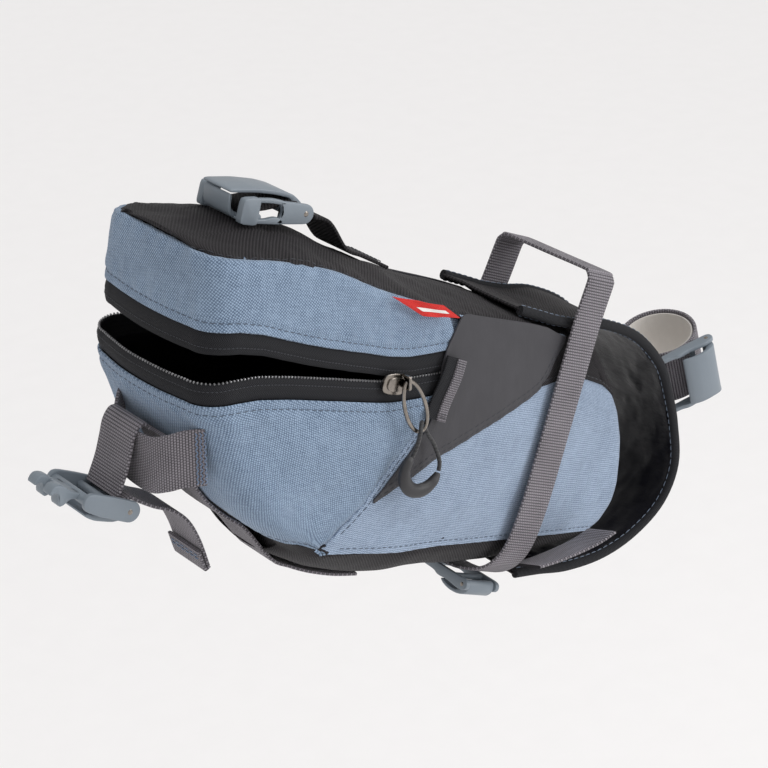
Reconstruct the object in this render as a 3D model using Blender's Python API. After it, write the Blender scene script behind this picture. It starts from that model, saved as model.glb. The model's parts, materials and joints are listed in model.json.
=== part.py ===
"""Saddle bag: a pitched, tapering zipped bag that hangs from two saddle rails and straps to a seatpost.

Row frame: +X is the way the bicycle goes, +Y is its left side, +Z is up. The origin is the point
midway between the two saddle rails, where the rail strap passes over them. Every length below is in
millimetres, and MM turns it into metres where a mesh is made.
"""

import math

import bmesh
import bpy
import numpy as np
from mathutils import Matrix, Vector

MM = 0.001
GAP = 0.35  # between neighbours that touch
NEAR, FAR = -1, 1  # the two sides: NEAR is the bicycle's right, at -Y

# Bag body
WALL = 1.5
SKIN = 0.7  # thin laminates and linings
REAR_RADIUS, NOSE_RADIUS = 12.5, 7.0
BELLY = 17.0  # how far the base sags below its seams
CROWN = 8.0  # how far the lid's top swells above its seams
ZIP_END_C = 2.48  # where along the side the zip ends, as a column of the wall
TAPE = 8.0
TEETH = 1.4

# Webbing
WEB = 1.4
RAIL_WEB, REAR_WEB, POST_WEB = 15.0, 20.0, 25.0

# What holds the bag
RAIL_RADIUS, RAIL_SPACING = 3.5, 44.0
POST_RADIUS = 13.6
POST_TOP, POST_FOOT = Vector((47.1, 0.0, 0.0)), Vector((105.0, 0.0, -195.0))
STRAP_HEIGHT = -58.5  # where the post's axis meets the middle of its strap

# Buckles, by the middle of their frames
TOP_BUCKLE = Vector((-143.0, 0.0, 60.6))
REAR_BUCKLE = Vector((-221.0, 3.0, -28.5))
REAR_STRAP_Y = 3.0

# Joint axes
LID_HINGE = Vector((-84.0, 0.0, 15.5))
STRAP_PIVOT = Vector((-194.0, 3.0, -7.9))
RING_PIVOT = Vector((-108.6, -41.4, -3.6))
GRIP_PIVOT = Vector((-102.0, -41.4, -24.6))


def clear_scene():
    for obj in list(bpy.data.objects):
        bpy.data.objects.remove(obj, do_unlink=True)


def material(name, color, roughness, metallic=0.0):
    made = bpy.data.materials.get(name) or bpy.data.materials.new(name)
    made.use_nodes = True
    shader = made.node_tree.nodes["Principled BSDF"]
    shader.inputs["Base Color"].default_value = (*color, 1.0)
    shader.inputs["Roughness"].default_value = roughness
    shader.inputs["Metallic"].default_value = metallic
    return made


def finish_mesh(name, mesh_data, look, smooth=True, pivot=(0.0, 0.0, 0.0)):
    """Turns a bmesh in millimetres into a named object in metres, with its origin at pivot."""
    bmesh.ops.recalc_face_normals(mesh_data, faces=mesh_data.faces)
    for vertex in mesh_data.verts:
        vertex.co = (vertex.co - Vector(pivot)) * MM
    mesh = bpy.data.meshes.new(name)
    mesh_data.to_mesh(mesh)
    mesh_data.free()
    if smooth:
        mesh.shade_smooth()
        mesh.set_sharp_from_angle(angle=math.radians(35))
    mesh.materials.append(look)
    obj = bpy.data.objects.new(name, mesh)
    obj.location = Vector(pivot) * MM
    bpy.context.scene.collection.objects.link(obj)
    return obj


def grid_solid(name, outer, inner, look, loop=False, pivot=(0.0, 0.0, 0.0)):
    """A closed shell between two grids of points, each a list of columns. loop joins its ends."""
    shape = bmesh.new()
    skins = [[[shape.verts.new(point) for point in column] for column in grid] for grid in (outer, inner)]
    columns, rows = len(outer), len(outer[0])
    last = columns if loop else columns - 1
    for skin in skins:
        for i in range(last):
            a, b = skin[i], skin[(i + 1) % columns]
            for j in range(rows - 1):
                shape.faces.new((a[j], b[j], b[j + 1], a[j + 1]))
    front, back = skins
    for j in (0, rows - 1):
        for i in range(last):
            k = (i + 1) % columns
            shape.faces.new((front[i][j], front[k][j], back[k][j], back[i][j]))
    if not loop:
        for i in (0, columns - 1):
            for j in range(rows - 1):
                shape.faces.new((front[i][j], front[i][j + 1], back[i][j + 1], back[i][j]))
    return finish_mesh(name, shape, look, pivot=pivot)


def ribbon(name, path, across, width, thickness, look, loop=False, pivot=(0.0, 0.0, 0.0)):
    """Flat webbing: path is its middle line, and across is the direction of its width."""
    path = [Vector(point) for point in path]
    across = [Vector(a).normalized() for a in across] if isinstance(across, list) else [
        Vector(across).normalized()
    ] * len(path)
    outer, inner = [], []
    for i, point in enumerate(path):
        before = path[i - 1] if i or loop else point
        after = path[(i + 1) % len(path)] if i + 1 < len(path) or loop else point
        normal = (after - before).normalized().cross(across[i]).normalized() * thickness / 2
        half = across[i] * width / 2
        outer.append([point + normal - half, point + normal + half])
        inner.append([point - normal - half, point - normal + half])
    return grid_solid(name, outer, inner, look, loop, pivot)


def smooth_path(points, per_span=5, loop=False):
    """A Catmull-Rom curve through the points."""
    points = [Vector(point) for point in points]
    count = len(points)
    spans = count if loop else count - 1
    made = []
    for i in range(spans):
        if loop:
            p = [points[(i + k) % count] for k in (-1, 0, 1, 2)]
        else:
            p = [points[min(max(i + k, 0), count - 1)] for k in (-1, 0, 1, 2)]
        for step in range(per_span):
            t = step / per_span
            made.append(
                0.5 * (2 * p[1] + (p[2] - p[0]) * t + (2 * p[0] - 5 * p[1] + 4 * p[2] - p[3]) * t**2
                       + (3 * p[1] - p[0] - 3 * p[2] + p[3]) * t**3)
            )
    return made if loop else made + [points[-1]]


def prism(name, outline, low, high, frame, look, pivot=(0.0, 0.0, 0.0), smooth=True):
    """An outline in a frame's x and z, extruded along its y from low to high. frame is a 4 by 4 matrix."""
    shape = bmesh.new()
    ends = [[shape.verts.new(frame @ Vector((x, y, z))) for x, z in outline] for y in (low, high)]
    for end in ends:
        shape.faces.new(end)
    for i in range(len(outline)):
        k = (i + 1) % len(outline)
        shape.faces.new((ends[0][i], ends[0][k], ends[1][k], ends[1][i]))
    return finish_mesh(name, shape, look, smooth=smooth, pivot=pivot)


def boolean(target, tool, operation):
    """Joins a helper to the target, or cuts it out, and hides the helper."""
    modifier = target.modifiers.new(f"{operation.lower()} {tool.name}", "BOOLEAN")
    modifier.operation = operation
    modifier.object = tool
    tool.hide_render = True
    tool.display_type = "WIRE"


def arc(center, radius, start, end, steps):
    """Points of a circular arc in an outline's plane, in degrees."""
    angles = np.radians(np.linspace(start, end, steps + 1))
    return [(center[0] + radius * math.cos(a), center[1] + radius * math.sin(a)) for a in angles]


def tube(name, path, radius, look, sides=8, loop=False, pivot=(0.0, 0.0, 0.0)):
    """A round bar along a path, of one radius or of one for each point."""
    path = [Vector(point) for point in path]
    shape = bmesh.new()
    rings = []
    side = Vector((0.0, 1.0, 0.0))
    for i, point in enumerate(path):
        before = path[i - 1] if i or loop else point
        after = path[(i + 1) % len(path)] if i + 1 < len(path) or loop else point
        tangent = (after - before).normalized()
        side = (side - side.dot(tangent) * tangent).normalized()
        up = tangent.cross(side)
        size = radius[i] if isinstance(radius, list) else radius
        turns = [2 * math.pi * k / sides for k in range(sides)]
        rings.append([shape.verts.new(point + size * (math.cos(a) * side + math.sin(a) * up)) for a in turns])
    for i in range(len(rings) if loop else len(rings) - 1):
        a, b = rings[i], rings[(i + 1) % len(rings)]
        for k in range(sides):
            m = (k + 1) % sides
            shape.faces.new((a[k], a[m], b[m], b[k]))
    if not loop:
        shape.faces.new(rings[0])
        shape.faces.new(rings[-1])
    return finish_mesh(name, shape, look, pivot=pivot)


def cord(name, route, radius, look, pivot):
    """A length of cord through a route's points."""
    pivot = Vector(pivot)
    data = bpy.data.curves.new(name, "CURVE")
    data.dimensions = "3D"
    data.bevel_depth = radius * MM
    data.bevel_resolution = 2
    data.use_fill_caps = True
    spline = data.splines.new("POLY")
    spline.points.add(len(route) - 1)
    for point, place in zip(spline.points, route):
        point.co = (*((Vector(place) - pivot) * MM), 1.0)
    data.materials.append(look)
    made = bpy.data.objects.new(name, data)
    made.location = pivot * MM
    bpy.context.scene.collection.objects.link(made)
    return made


# The bag's wall: a surface over a column c, from 0 at the middle of the rear to 5 at the middle of the
# nose, and a level t, from 0 at the base seam to 1 at the top seam.


def base_z(x):
    return np.interp(x, [-190, 30], [-50.0, -121.8])


def top_z(x):
    places = [-190, -178, -159, -134, -114, -76, -34, -15, 30]
    return np.interp(x, places, [61, 58, 53, 43, 30, 10, -8, -18, -40])


def half_width(x, t):
    low = np.interp(x, [-187, -150, -105, -49, 6, 22], [34.5, 35.5, 33, 27, 19.5, 18])
    high = np.interp(x, [-187, -130, -80, -10, 22], [34.2, 34.8, 32.5, 23, 19])
    bulge = np.interp(x, [-187, -60, 22], [3.0, 2.5, 0.8])
    return low + (high - low) * t + bulge * 4 * t * (1 - t)


def rear_x(t):
    levels = [0, 0.06, 0.13, 0.21, 0.35, 0.5, 0.62, 0.7, 0.85, 1]
    return np.interp(t, levels, [-153, -165, -175, -181, -188, -193, -194, -189, -186, -181])


def nose_x(t):
    levels = [0, 0.05, 0.1, 0.16, 0.25, 0.5, 0.65, 0.8, 0.9, 1]
    return np.interp(t, levels, [8, 14.5, 19, 22.5, 25, 26, 22.5, 15, 9, 2])


def wall(side, c, t, inset=0.0):
    """A point of the wall, moved inwards by inset."""
    if inset:
        step = 0.02
        along = wall(side, min(c + step, 5.0), t) - wall(side, max(c - step, 0.0), t)
        up = wall(side, c, t + step) - wall(side, c, t - step)
        normal = along.cross(up).normalized() * side
        return wall(side, c, t) + normal * inset
    rear, nose = rear_x(t), nose_x(t)
    if c < 2:
        x = rear + REAR_RADIUS
        half = half_width(x, t)
        if c < 1:
            y = c * (half - REAR_RADIUS)
            x = rear - 2.5 * (1 - c * c) * min(1, 4 * t * (1 - t))
        else:
            turn = (c - 1) * math.pi / 2
            x, y = x - REAR_RADIUS * math.cos(turn), half - REAR_RADIUS * (1 - math.sin(turn))
    elif c <= 3:
        start, end = rear + REAR_RADIUS, nose - NOSE_RADIUS
        x = start + (c - 2) * (end - start)
        y = half_width(x, t)
    else:
        x = nose - NOSE_RADIUS
        half = half_width(x, t)
        if c < 4:
            turn = (c - 3) * math.pi / 2
            x, y = x + NOSE_RADIUS * math.sin(turn), half - NOSE_RADIUS * (1 - math.cos(turn))
        else:
            x, y = nose, (5 - c) * (half - NOSE_RADIUS)
    z = base_z(x) + (top_z(x) - base_z(x)) * t
    return Vector((x, side * y, z))


def level_at(c, height):
    """The level at which a column of the wall reaches a height given as a function of x."""
    low, high = 0.0, 1.0
    for _ in range(24):
        middle = (low + high) / 2
        point = wall(NEAR, c, middle)
        low, high = (low, middle) if point.z > height(point.x) else (middle, high)
    return low


def lower_teeth_z(x):
    return np.interp(x, [-187, -174, -153, -112, -84, 30], [17.5, 17, 10.5, -4, -9, -30])


def upper_teeth_z(x):
    return lower_teeth_z(x) + np.interp(x, [-187, -174, -153, -135], [8.5, 7.5, 3.6, 2.0])


REAR_COLUMNS = [0, 0.5, 1, 1.25, 1.5, 1.75]
SIDE_COLUMNS = [2, 2.08, 2.16, 2.24, 2.32, 2.4]
FRONT_COLUMNS = [2.6, 2.7, 2.8, 2.9, 3, 3.35, 3.7]
NOSE_COLUMNS = [4, 4.5, 5]


def around(columns):
    """A run of columns on the near side, round the rear, and back along the far side."""
    return [(NEAR, c) for c in reversed(columns)] + [(FAR, c) for c in columns if c > 0]


def band(name, columns, low, high, look, inset=0.0, thick=WALL, rows=4, loop=False, pivot=(0.0, 0.0, 0.0)):
    """A strip of the wall between two levels, each a function of the column."""
    outer, inner = [], []
    for side, c in columns:
        levels = np.linspace(low(c), high(c), rows)
        outer.append([wall(side, c, t, inset) for t in levels])
        inner.append([wall(side, c, t, inset + thick) for t in levels])
    return grid_solid(name, outer, inner, look, loop, pivot)


def tub_top(c):
    """The blue wall's top edge: below the zip at the rear, and full height in front of it."""
    if c > ZIP_END_C:
        return 0.995
    return level_at(c, lambda x: lower_teeth_z(x) - TAPE - TEETH)


def pan(name, level, rise, look, c_range, thick=WALL, inset=0.6, drop=0.0, pivot=(0.0, 0.0, 0.0)):
    """A crowned panel across the bag at one level: rise(x) is its height at the middle, down if negative."""
    outer, inner = [], []
    for c in c_range:
        edge = wall(NEAR, c, level, inset)
        half = abs(edge.y)
        row, under = [], []
        for share in (-1, -0.8, -0.5, -0.2, 0.2, 0.5, 0.8, 1):
            height = rise(edge.x) * (1 - share * share)
            row.append(Vector((edge.x, share * half, edge.z + drop + height)))
            under.append(Vector((edge.x, share * half, edge.z + drop + height - thick)))
        outer.append(row)
        inner.append(under)
    return grid_solid(name, outer, inner, look, pivot=pivot)


def beside(side, x, z, out):
    """A point beside the bag's flat flank, out from its outer face."""
    level = (z - base_z(x)) / (top_z(x) - base_z(x))
    return Vector((x, side * (half_width(x, level) + out), z))


def frame_at(origin, long_axis, outward):
    """A local frame: x along a buckle, z out of its face and y across it."""
    x = Vector(long_axis).normalized()
    z = Vector(outward)
    z = (z - z.dot(x) * x).normalized()
    y = z.cross(x)
    made = Matrix((x, y, z)).transposed().to_4x4()
    made.translation = Vector(origin)
    return made


def bar(name, frame, x, z, radius, low, high, look, sides=8, pivot=(0.0, 0.0, 0.0)):
    """A round bar across a buckle."""
    return prism(name, arc((x, z), radius, 0, 360 - 360 / sides, sides - 1), low, high, frame, look, pivot)


# Materials

BLUE = material("blue fabric", (0.36, 0.46, 0.60), 0.85)
BLACK = material("black ribbed nylon", (0.028, 0.026, 0.030), 0.8)
LAMINATE = material("dark grey laminate", (0.055, 0.052, 0.058), 0.65)
LINING = material("lining", (0.012, 0.012, 0.016), 0.5)
TAPE_LOOK = material("zip tape", (0.022, 0.022, 0.024), 0.85)
TEETH_LOOK = material("zip teeth", (0.30, 0.30, 0.30), 0.4)
METAL = material("nickel", (0.56, 0.53, 0.48), 0.3, 1.0)
GREY_WEB = material("grey webbing", (0.14, 0.12, 0.14), 0.8)
BUCKLE = material("grey plastic", (0.26, 0.31, 0.35), 0.4)
RED = material("red label", (0.75, 0.025, 0.02), 0.6)
CORD_LOOK = material("pull cord", (0.012, 0.012, 0.013), 0.7)
GRIP_LOOK = material("grip plastic", (0.02, 0.02, 0.022), 0.45)
BOARD = material("stiffener board", (0.05, 0.05, 0.055), 0.5)
RUBBER = material("grip face", (0.72, 0.68, 0.63), 0.75)


def belly(x):
    return -BELLY * np.interp(x, [-165, -140, -100, -50, 0, 14], [0.12, 0.6, 1.0, 0.9, 0.5, 0.1])


def lid_crown(x):
    return CROWN * np.interp(x, [-178, -160, -130, -100, -86], [0.25, 0.85, 1.0, 0.65, 0.4])


def front_crown(x):
    return CROWN * np.interp(x, [-86, -60, -10], [0.4, 0.35, 0.1])


def build_body():
    tub = around(REAR_COLUMNS + SIDE_COLUMNS + [2.46, 2.5] + FRONT_COLUMNS)
    band("main_body", tub, lambda c: 0.0, tub_top, BLUE, rows=7)
    nose = [(NEAR, c) for c in (3.76, 4, 4.5, 5)] + [(FAR, c) for c in (4.5, 4, 3.76)]
    band("nose_gusset", nose, lambda c: 0.0, lambda c: 0.995, BLACK, rows=7)
    ring = around(REAR_COLUMNS + SIDE_COLUMNS + [2.46, 2.5] + FRONT_COLUMNS + [4]) + [(FAR, 5)]
    inside = WALL + 0.9
    band("body_lining", ring, lambda c: 0.14, lambda c: tub_top(c) - 0.03, LINING, inside, SKIN, 7, loop=True)
    columns = [1, 1.25, 1.5, 1.75, 2, 2.2, 2.4, 2.6, 2.8, 3, 3.35, 3.7, 4]
    pan("base_panel", 0.0, belly, BLACK, columns, inset=0, drop=-GAP)
    pan("base_stiffener", 0.0, belly, BOARD, columns[3:-3], 1.2, 2.6, 2.4)
    front = [2.465, 2.5, 2.6, 2.7, 2.8, 2.9, 3, 3.35, 3.7, 4]
    pan("front_top_panel", 1.0, front_crown, BLACK, front, inset=0, drop=GAP + WALL)
    for side, name in ((NEAR, "near"), (FAR, "far")):
        low = lambda x: np.interp(x, [-120, -88, -57, -32, -24, -15], [-51, -43, -38.4, -35, -29, -20])
        high = lambda x: np.interp(x, [-120, -93, -86, -75, -34, -15], [-50, -27, -8, 6.5, -10, -19.3])
        outer, inner = [], []
        for x in (-119.5, -106, -93, -86, -75, -60, -45, -32, -24, -16):
            heights = np.linspace(low(x), high(x), 4)
            outer.append([beside(side, x, z, GAP + SKIN) for z in heights])
            inner.append([beside(side, x, z, GAP) for z in heights])
        grid_solid(f"side_wing_{name}", outer, inner, LAMINATE)
        path = [beside(side, -81 - 11.5 * k / 4, -4 - 21 * k / 4, 2 * GAP + SKIN + 1.1) for k in range(5)]
        ribbon(f"zip_end_tab_{name}", path, (0.88, 0, -0.47), 9, 2.0, GREY_WEB)


def build_lid():
    pivot = LID_HINGE
    columns = around(REAR_COLUMNS + SIDE_COLUMNS + [2.44])
    edge = lambda extra: lambda c: level_at(c, lambda x: upper_teeth_z(x) + extra)
    band("lid_band", columns, edge(TEETH + TAPE + GAP), lambda c: 0.995, BLUE, rows=4, pivot=pivot)
    tape = (edge(TEETH + GAP), edge(TEETH + TAPE))
    band("zip_tape_upper", columns, *tape, TAPE_LOOK, 0.2, 1.0, 2, pivot=pivot)
    band("zip_teeth_upper", columns, edge(GAP), edge(TEETH), TEETH_LOOK, 0.0, 1.4, 2, pivot=pivot)
    lining = [(side, c) for side, c in columns if c < 2.42]
    low = edge(TEETH + TAPE + 2)
    band("lid_lining", lining, low, lambda c: 0.97, LINING, WALL + GAP, SKIN, 3, pivot=pivot)
    cuts = [1, 1.25, 1.5, 1.75, 2, 2.1, 2.2, 2.3, 2.4, 2.44]
    pan("lid_top_panel", 1.0, lid_crown, BLACK, cuts, inset=0, drop=GAP + WALL, pivot=pivot)
    tag = [(-112.5, 29.4), (-98.5, 18), (-80.5, 12.2), (-88, 19)]
    side = Matrix.Translation((0, -36.6, 0))
    prism("label_tag", tag, -0.5, 0.3, side, RED, pivot, smooth=False)
    path = [(x, 0, top_z(x) + lid_crown(x) + WALL + GAP + 1.5) for x in (-96, -104, -111)]
    path.append((-123.6, 0, 53.2))
    ribbon("top_strap", path, (0, 1, 0), REAR_WEB, WEB, BLACK, pivot=pivot)


def build_zip():
    columns = around(REAR_COLUMNS + SIDE_COLUMNS + [2.45])
    edge = lambda extra: lambda c: level_at(c, lambda x: lower_teeth_z(x) + extra)
    band("zip_tape_lower", columns, edge(GAP - TEETH - TAPE), edge(-TEETH - GAP), TAPE_LOOK, 0.2, 1.0, 2)
    band("zip_teeth_lower", columns, edge(-TEETH), edge(0.0), TEETH_LOOK, 0.0, 1.4, 2)
    face = frame_at((-112, -38.4, -4.5), (-0.942, 0, 0.334), (0, -1, 0))
    outline = [(-6, -2.2), (-4, -4), (2, -4), (5.5, -3), (5.5, 3), (2, 4), (-4, 4), (-6, 2.2)]
    flat = face @ Matrix.Rotation(math.pi / 2, 4, "X")
    body = prism("zip_slider", outline, -0.9, 0.9, flat, METAL, pivot=(-112, -38.4, -4.5))
    y, z = RING_PIVOT.y, RING_PIVOT.z
    staple = [(y + 2.6, z - 3.0), (y - 1.8, z - 3.0), (y - 1.8, z + 2.7), (y + 2.6, z + 2.7)]
    staple += [(y + 2.6, z + 1.9), (y - 1.2, z + 1.9), (y - 1.2, z - 2.2), (y + 2.6, z - 2.2)]
    turned = Matrix(((0, 1, 0, RING_PIVOT.x), (1, 0, 0, 0), (0, 0, 1, 0), (0, 0, 0, 1)))
    boolean(body, prism("slider_bail_shape", staple, -0.6, 0.6, turned, METAL), "UNION")
    along = Vector((7.0, 0.0, -21.5)).normalized()
    across = Vector((-along.z, 0.0, along.x))
    ring = []
    for k in range(20):
        angle = 2 * math.pi * k / 20
        reach = (1 - math.cos(angle)) / 2
        width = 4.0 + 1.0 * reach
        ring.append(RING_PIVOT + along * 22.6 * reach + across * width * math.sin(angle))
    tube("zip_pull_ring", ring, 0.65, METAL, 6, loop=True, pivot=RING_PIVOT)
    route = [(-107.05, -42.4, -33.6), (-105.9, -42.9, -31.0), (-104.9, -43.3, -27.5), (-104.1, -43.4, -24.4),
             (-102.0, -41.4, -22.1), (-99.5, -39.2, -23.6), (-97.5, -39.5, -28.5), (-95.4, -39.8, -32.0),
             (-94.0, -40.4, -36.0), (-93.4, -41.6, -40.3), (-94.3, -42.2, -43.6)]
    cord("zip_pull_cord", route, 0.8, CORD_LOOK, GRIP_PIVOT)
    bow = [(x, -42.2, z) for x, z in arc((-102.2, -40.5), 8.4, 128, 333, 14)]
    tube("zip_grip", bow, [1.9] * 4 + [2.4] * 8 + [1.7] * 3, GRIP_LOOK, 8, pivot=GRIP_PIVOT)


def build_hood():
    line = [(-22, -4.5), (-6, -12), (8, -16), (26, -29), (40, -47), (46.6, -64), (50.4, -78.5), (52.2, -97),
            (45, -112), (30, -121.5), (12, -126), (-8, -125.5), (-24, -121)]
    path = smooth_path([(x, 0, z) for x, z in line], 2)
    wide = [Vector((0, 1, 0))] * len(path)
    ribbon("nose_hood", path, wide, 44, 1.4, BLACK)
    inner = []
    for i, point in enumerate(path[3:-3], 3):
        tangent = (path[i + 1] - path[i - 1]).normalized()
        inner.append(point - tangent.cross(Vector((0, 1, 0))) * (0.7 + GAP + SKIN / 2))
    ribbon("hood_lining", inner, (0, 1, 0), 42, SKIN, LINING)
    for side, name in ((NEAR, "near"), (FAR, "far")):
        edge = [point + Vector((0, side * (22 + GAP + 1.0), 0)) for point in path]
        ribbon(f"hood_binding_{name}", edge, (0, 1, 0), 2.0, 2.8, BLACK)


def post_frame():
    """The seatpost strap's frame: z is the post's axis, upwards, and x points forward."""
    axis = (POST_TOP - POST_FOOT).normalized()
    share = (STRAP_HEIGHT - POST_FOOT.z) / (POST_TOP.z - POST_FOOT.z)
    return frame_at(POST_FOOT + (POST_TOP - POST_FOOT) * share, (axis.z, 0, -axis.x), axis)


def hook_rails(name, frame, width, outline, thick, bars, pin, pivot=(0.0, 0.0, 0.0)):
    """A buckle's frame: two side rails of one outline, joined by round bars, with a hole for its pin."""
    half = width / 2
    rail = prism(name, outline, -half - thick, -half, frame, BUCKLE, pivot)
    boolean(rail, prism(f"{name}_far_rail", outline, half, half + thick, frame, BUCKLE), "UNION")
    for k, (x, z, radius) in enumerate(bars):
        tool = bar(f"{name}_bar_{k}", frame, x, z, radius, -half - thick / 2, half + thick / 2, BUCKLE)
        boolean(rail, tool, "UNION")
    x, z, radius = pin
    hole = bar(f"{name}_hole", frame, x, z, radius + GAP, -half - thick - 1, half + thick + 1, BUCKLE, 10)
    boolean(rail, hole, "DIFFERENCE")
    return rail


def closed_buckle(name, frame, width):
    """A hook buckle fastened on itself: rails with bars, a curved cover lever and its pin."""
    thick = 2.0
    rails = [(-14.5, 1.2), (-13, 0.3), (-4, 0), (13, 0.2), (14.5, 1.9), (13.8, 4.4), (9.5, 5.2), (2, 4.2)]
    rails += [(-3, 4.6), (-5.5, 3.4), (-13, 3.1)]
    bars = [(-10.5, 1.7, 1.3), (4.5, 1.5, 1.2)]
    hook_rails(f"{name}_frame", frame, width, rails, thick, bars, (11.4, 2.5, 1.0))
    half = width / 2
    pivot = frame @ Vector((11.4, 0, 2.5))
    cover = [(9.2, 2.2), (9.9, 0.9), (11.6, 0.2), (13.2, 1.2), (13.6, 3.4), (12.8, 6.0), (9.6, 7.6)]
    cover += [(5, 8.2), (1, 7.8)]
    cover += [(-2.6, 6.4), (-2.6, 5.1), (1, 6.3), (5, 6.8), (8.6, 6.0), (9.6, 4.4)]
    lever = prism(f"{name}_lever", cover, -half + GAP, half - GAP, frame, BUCKLE, pivot=pivot)
    hole = bar(f"{name}_lever_hole", frame, 11.4, 2.5, 1.0 + GAP, -half - 1, half + 1, BUCKLE, 10)
    boolean(lever, hole, "DIFFERENCE")
    bar(f"{name}_pin", frame, 11.4, 2.5, 1.0, -half - thick, half + thick, METAL, 10)


def build_post_strap():
    frame = post_frame()
    turn = 2 * math.pi / 32
    angles = [k * turn for k in range(32)]
    for name, radius, thick, width, look in (
        ("seatpost_strap", POST_RADIUS + 1.6 + WEB / 2, WEB, POST_WEB, GREY_WEB),
        ("seatpost_strap_grip", POST_RADIUS + 0.8, 0.8, POST_WEB - 2, RUBBER),
    ):
        path = [frame @ Vector((radius * math.cos(a), radius * math.sin(a), 0)) for a in angles]
        ribbon(name, path, frame.to_3x3() @ Vector((0, 0, 1)), width, thick, look, loop=True)
    axis = frame.to_3x3() @ Vector((0, 0, 1))
    outward = Vector((-0.225, -0.974, 0))
    outward = (outward - outward.dot(axis) * axis).normalized()
    along = axis.cross(outward)
    center = frame.translation + outward * (POST_RADIUS + 1.6 + WEB + GAP + 0.6)
    closed_buckle("seatpost_buckle", frame_at(center, along, outward), 24)


def build_rail_strap():
    """A loop of webbing square to the bag's top, over both saddle rails and under the belly."""
    down = Vector((-0.40, 0, -0.9165))
    along = Vector((0.9165, 0, -0.40))
    half = RAIL_SPACING / 2
    over = RAIL_RADIUS + GAP + WEB / 2
    foot = 126.5
    turns = np.radians([0, 30, 60, 90])
    profile = [(0, -over)] + [(half + over * math.sin(a), -over * math.cos(a)) for a in turns]
    profile += [(27.0, 14), (28.2, 30), (29.4, 50), (30.4, 70), (31.5, 92), (31, 106), (28, 115)]
    profile += [(21.5, 121.5), (11, 125.4)]
    ring = [(-y, d) for y, d in reversed(profile[1:])] + profile + [(0, foot)]
    path = [Vector((0, y, 0)) + down * d for y, d in ring]
    ribbon("rail_strap", path, along, RAIL_WEB, WEB, GREY_WEB, loop=True)
    center = down * (foot + WEB / 2 + GAP)
    closed_buckle("bottom_buckle", frame_at(center + Vector((0, -6.4, 0)), (0, -1, 0), down), RAIL_WEB)
    end = smooth_path([(-39, -31.5, -108.8), (-30, -32.5, -109), (-19, -33.5, -108.4), (-9, -34.5, -107),
                       (-1.8, -35.5, -104.4)], 3)
    ribbon("rail_strap_end", end, (-0.13, 0.93, -0.27), RAIL_WEB, WEB, GREY_WEB)


def build_rear():
    """The light loop across the rear face and the strap that comes up behind it and folds over it."""
    path = [(-192.4, 26.5, -15.5), (-195.5, 22, -17), (-199, 14, -19.5), (-200, 6, -20), (-200.2, -11, -19.5),
            (-199.2, -20, -16.5), (-196, -24, -14), (-192.4, -26.8, -12.5)]
    ribbon("light_loop", path, (0, 0, 1), 22, WEB, GREY_WEB)
    anchor = [(-138, -81), (-150, -74), (-162, -63.5), (-171.5, -53), (-180, -41.5), (-187, -30), (-192, -19),
              (-193.6, -12), (-193.8, -8.6)]
    anchor = smooth_path([(x, REAR_STRAP_Y, z) for x, z in anchor], 2)
    ribbon("rear_strap_anchor", anchor, (0, 1, 0), REAR_WEB, WEB, GREY_WEB)
    frame = frame_at(REAR_BUCKLE, (-0.88, 0, 0.48), (0.48, 0, 0.88))
    out = [(-194.2, -7.2), (-196.4, -5.6), (-199.6, -6.2), (-202.4, -9.6), (-204, -15), (-206.2, -22)]
    out += [(-208.9, -28), (-210.4, -31)]
    out = smooth_path([(x, REAR_STRAP_Y, z) for x, z in out], 2)
    ribbon("rear_strap", out, (0, 1, 0), REAR_WEB, WEB, GREY_WEB, pivot=STRAP_PIVOT)
    tail = [frame @ Vector((x, 0, z)) for x, z in ((-12.3, 2.3), (-16, 4.3), (-21, 3.6))]
    down = ((-195, -38.6), (-188.2, -43), (-183.4, -50), (-180, -60), (-177.4, -73))
    tail += [Vector((x, REAR_STRAP_Y, z)) for x, z in down]
    ribbon("rear_strap_tail", smooth_path(tail, 2), (0, 1, 0), REAR_WEB, WEB, GREY_WEB, pivot=STRAP_PIVOT)

    half = REAR_WEB / 2 + 0.5
    thick = 2.2
    rails = arc((-16, 0), 4, 90, 270, 6) + [(-4, -4), (3, -3.2), (5, -1), (5, 2), (3, 3.6), (-6, 4)]
    swing = frame @ Vector((-9, 0, 0.4))
    bars = [(-9, 0.4, 1.5), (2.5, 0.3, 2.0)]
    body = hook_rails("rear_buckle_frame", frame, 2 * half, rails, thick, bars, (-15.5, 0, 1.2), swing)
    claw = [(2, -0.8), (7, -0.9), (9, -4.2), (11, -4.8), (12.4, -1), (14, 0.2), (15.2, -1.6)]
    claw += [(16.4, -1.2), (15.6, 2.4), (12, 3.0), (7, 1.4), (2, 1.8)]
    boolean(body, prism("rear_claw_shape", claw, -7.5, 7.5, frame, BUCKLE), "UNION")
    pivot = frame @ Vector((-15.5, 0, 0))
    plate = [(-18.3, 0.3), (-17.2, 1.7), (-15.3, 2.1), (-13.4, 1.3), (-12.9, -0.6), (-12.4, -2.4)]
    plate += [(-8, -3.2), (-2, -4.4), (1, -4.2), (1, -5.6), (-4, -6.4), (-12, -5.6), (-16.5, -3.6)]
    lever = prism("rear_buckle_lever", plate, -half + GAP, half - GAP, frame, BUCKLE, pivot=pivot)
    hole = bar("rear_lever_hole", frame, -15.5, 0, 1.2 + GAP, -half - 1, half + 1, BUCKLE, 10)
    boolean(lever, hole, "DIFFERENCE")
    bar("rear_buckle_pin", frame, -15.5, 0, 1.2, -half - thick, half + thick, METAL, 10, swing)


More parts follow.
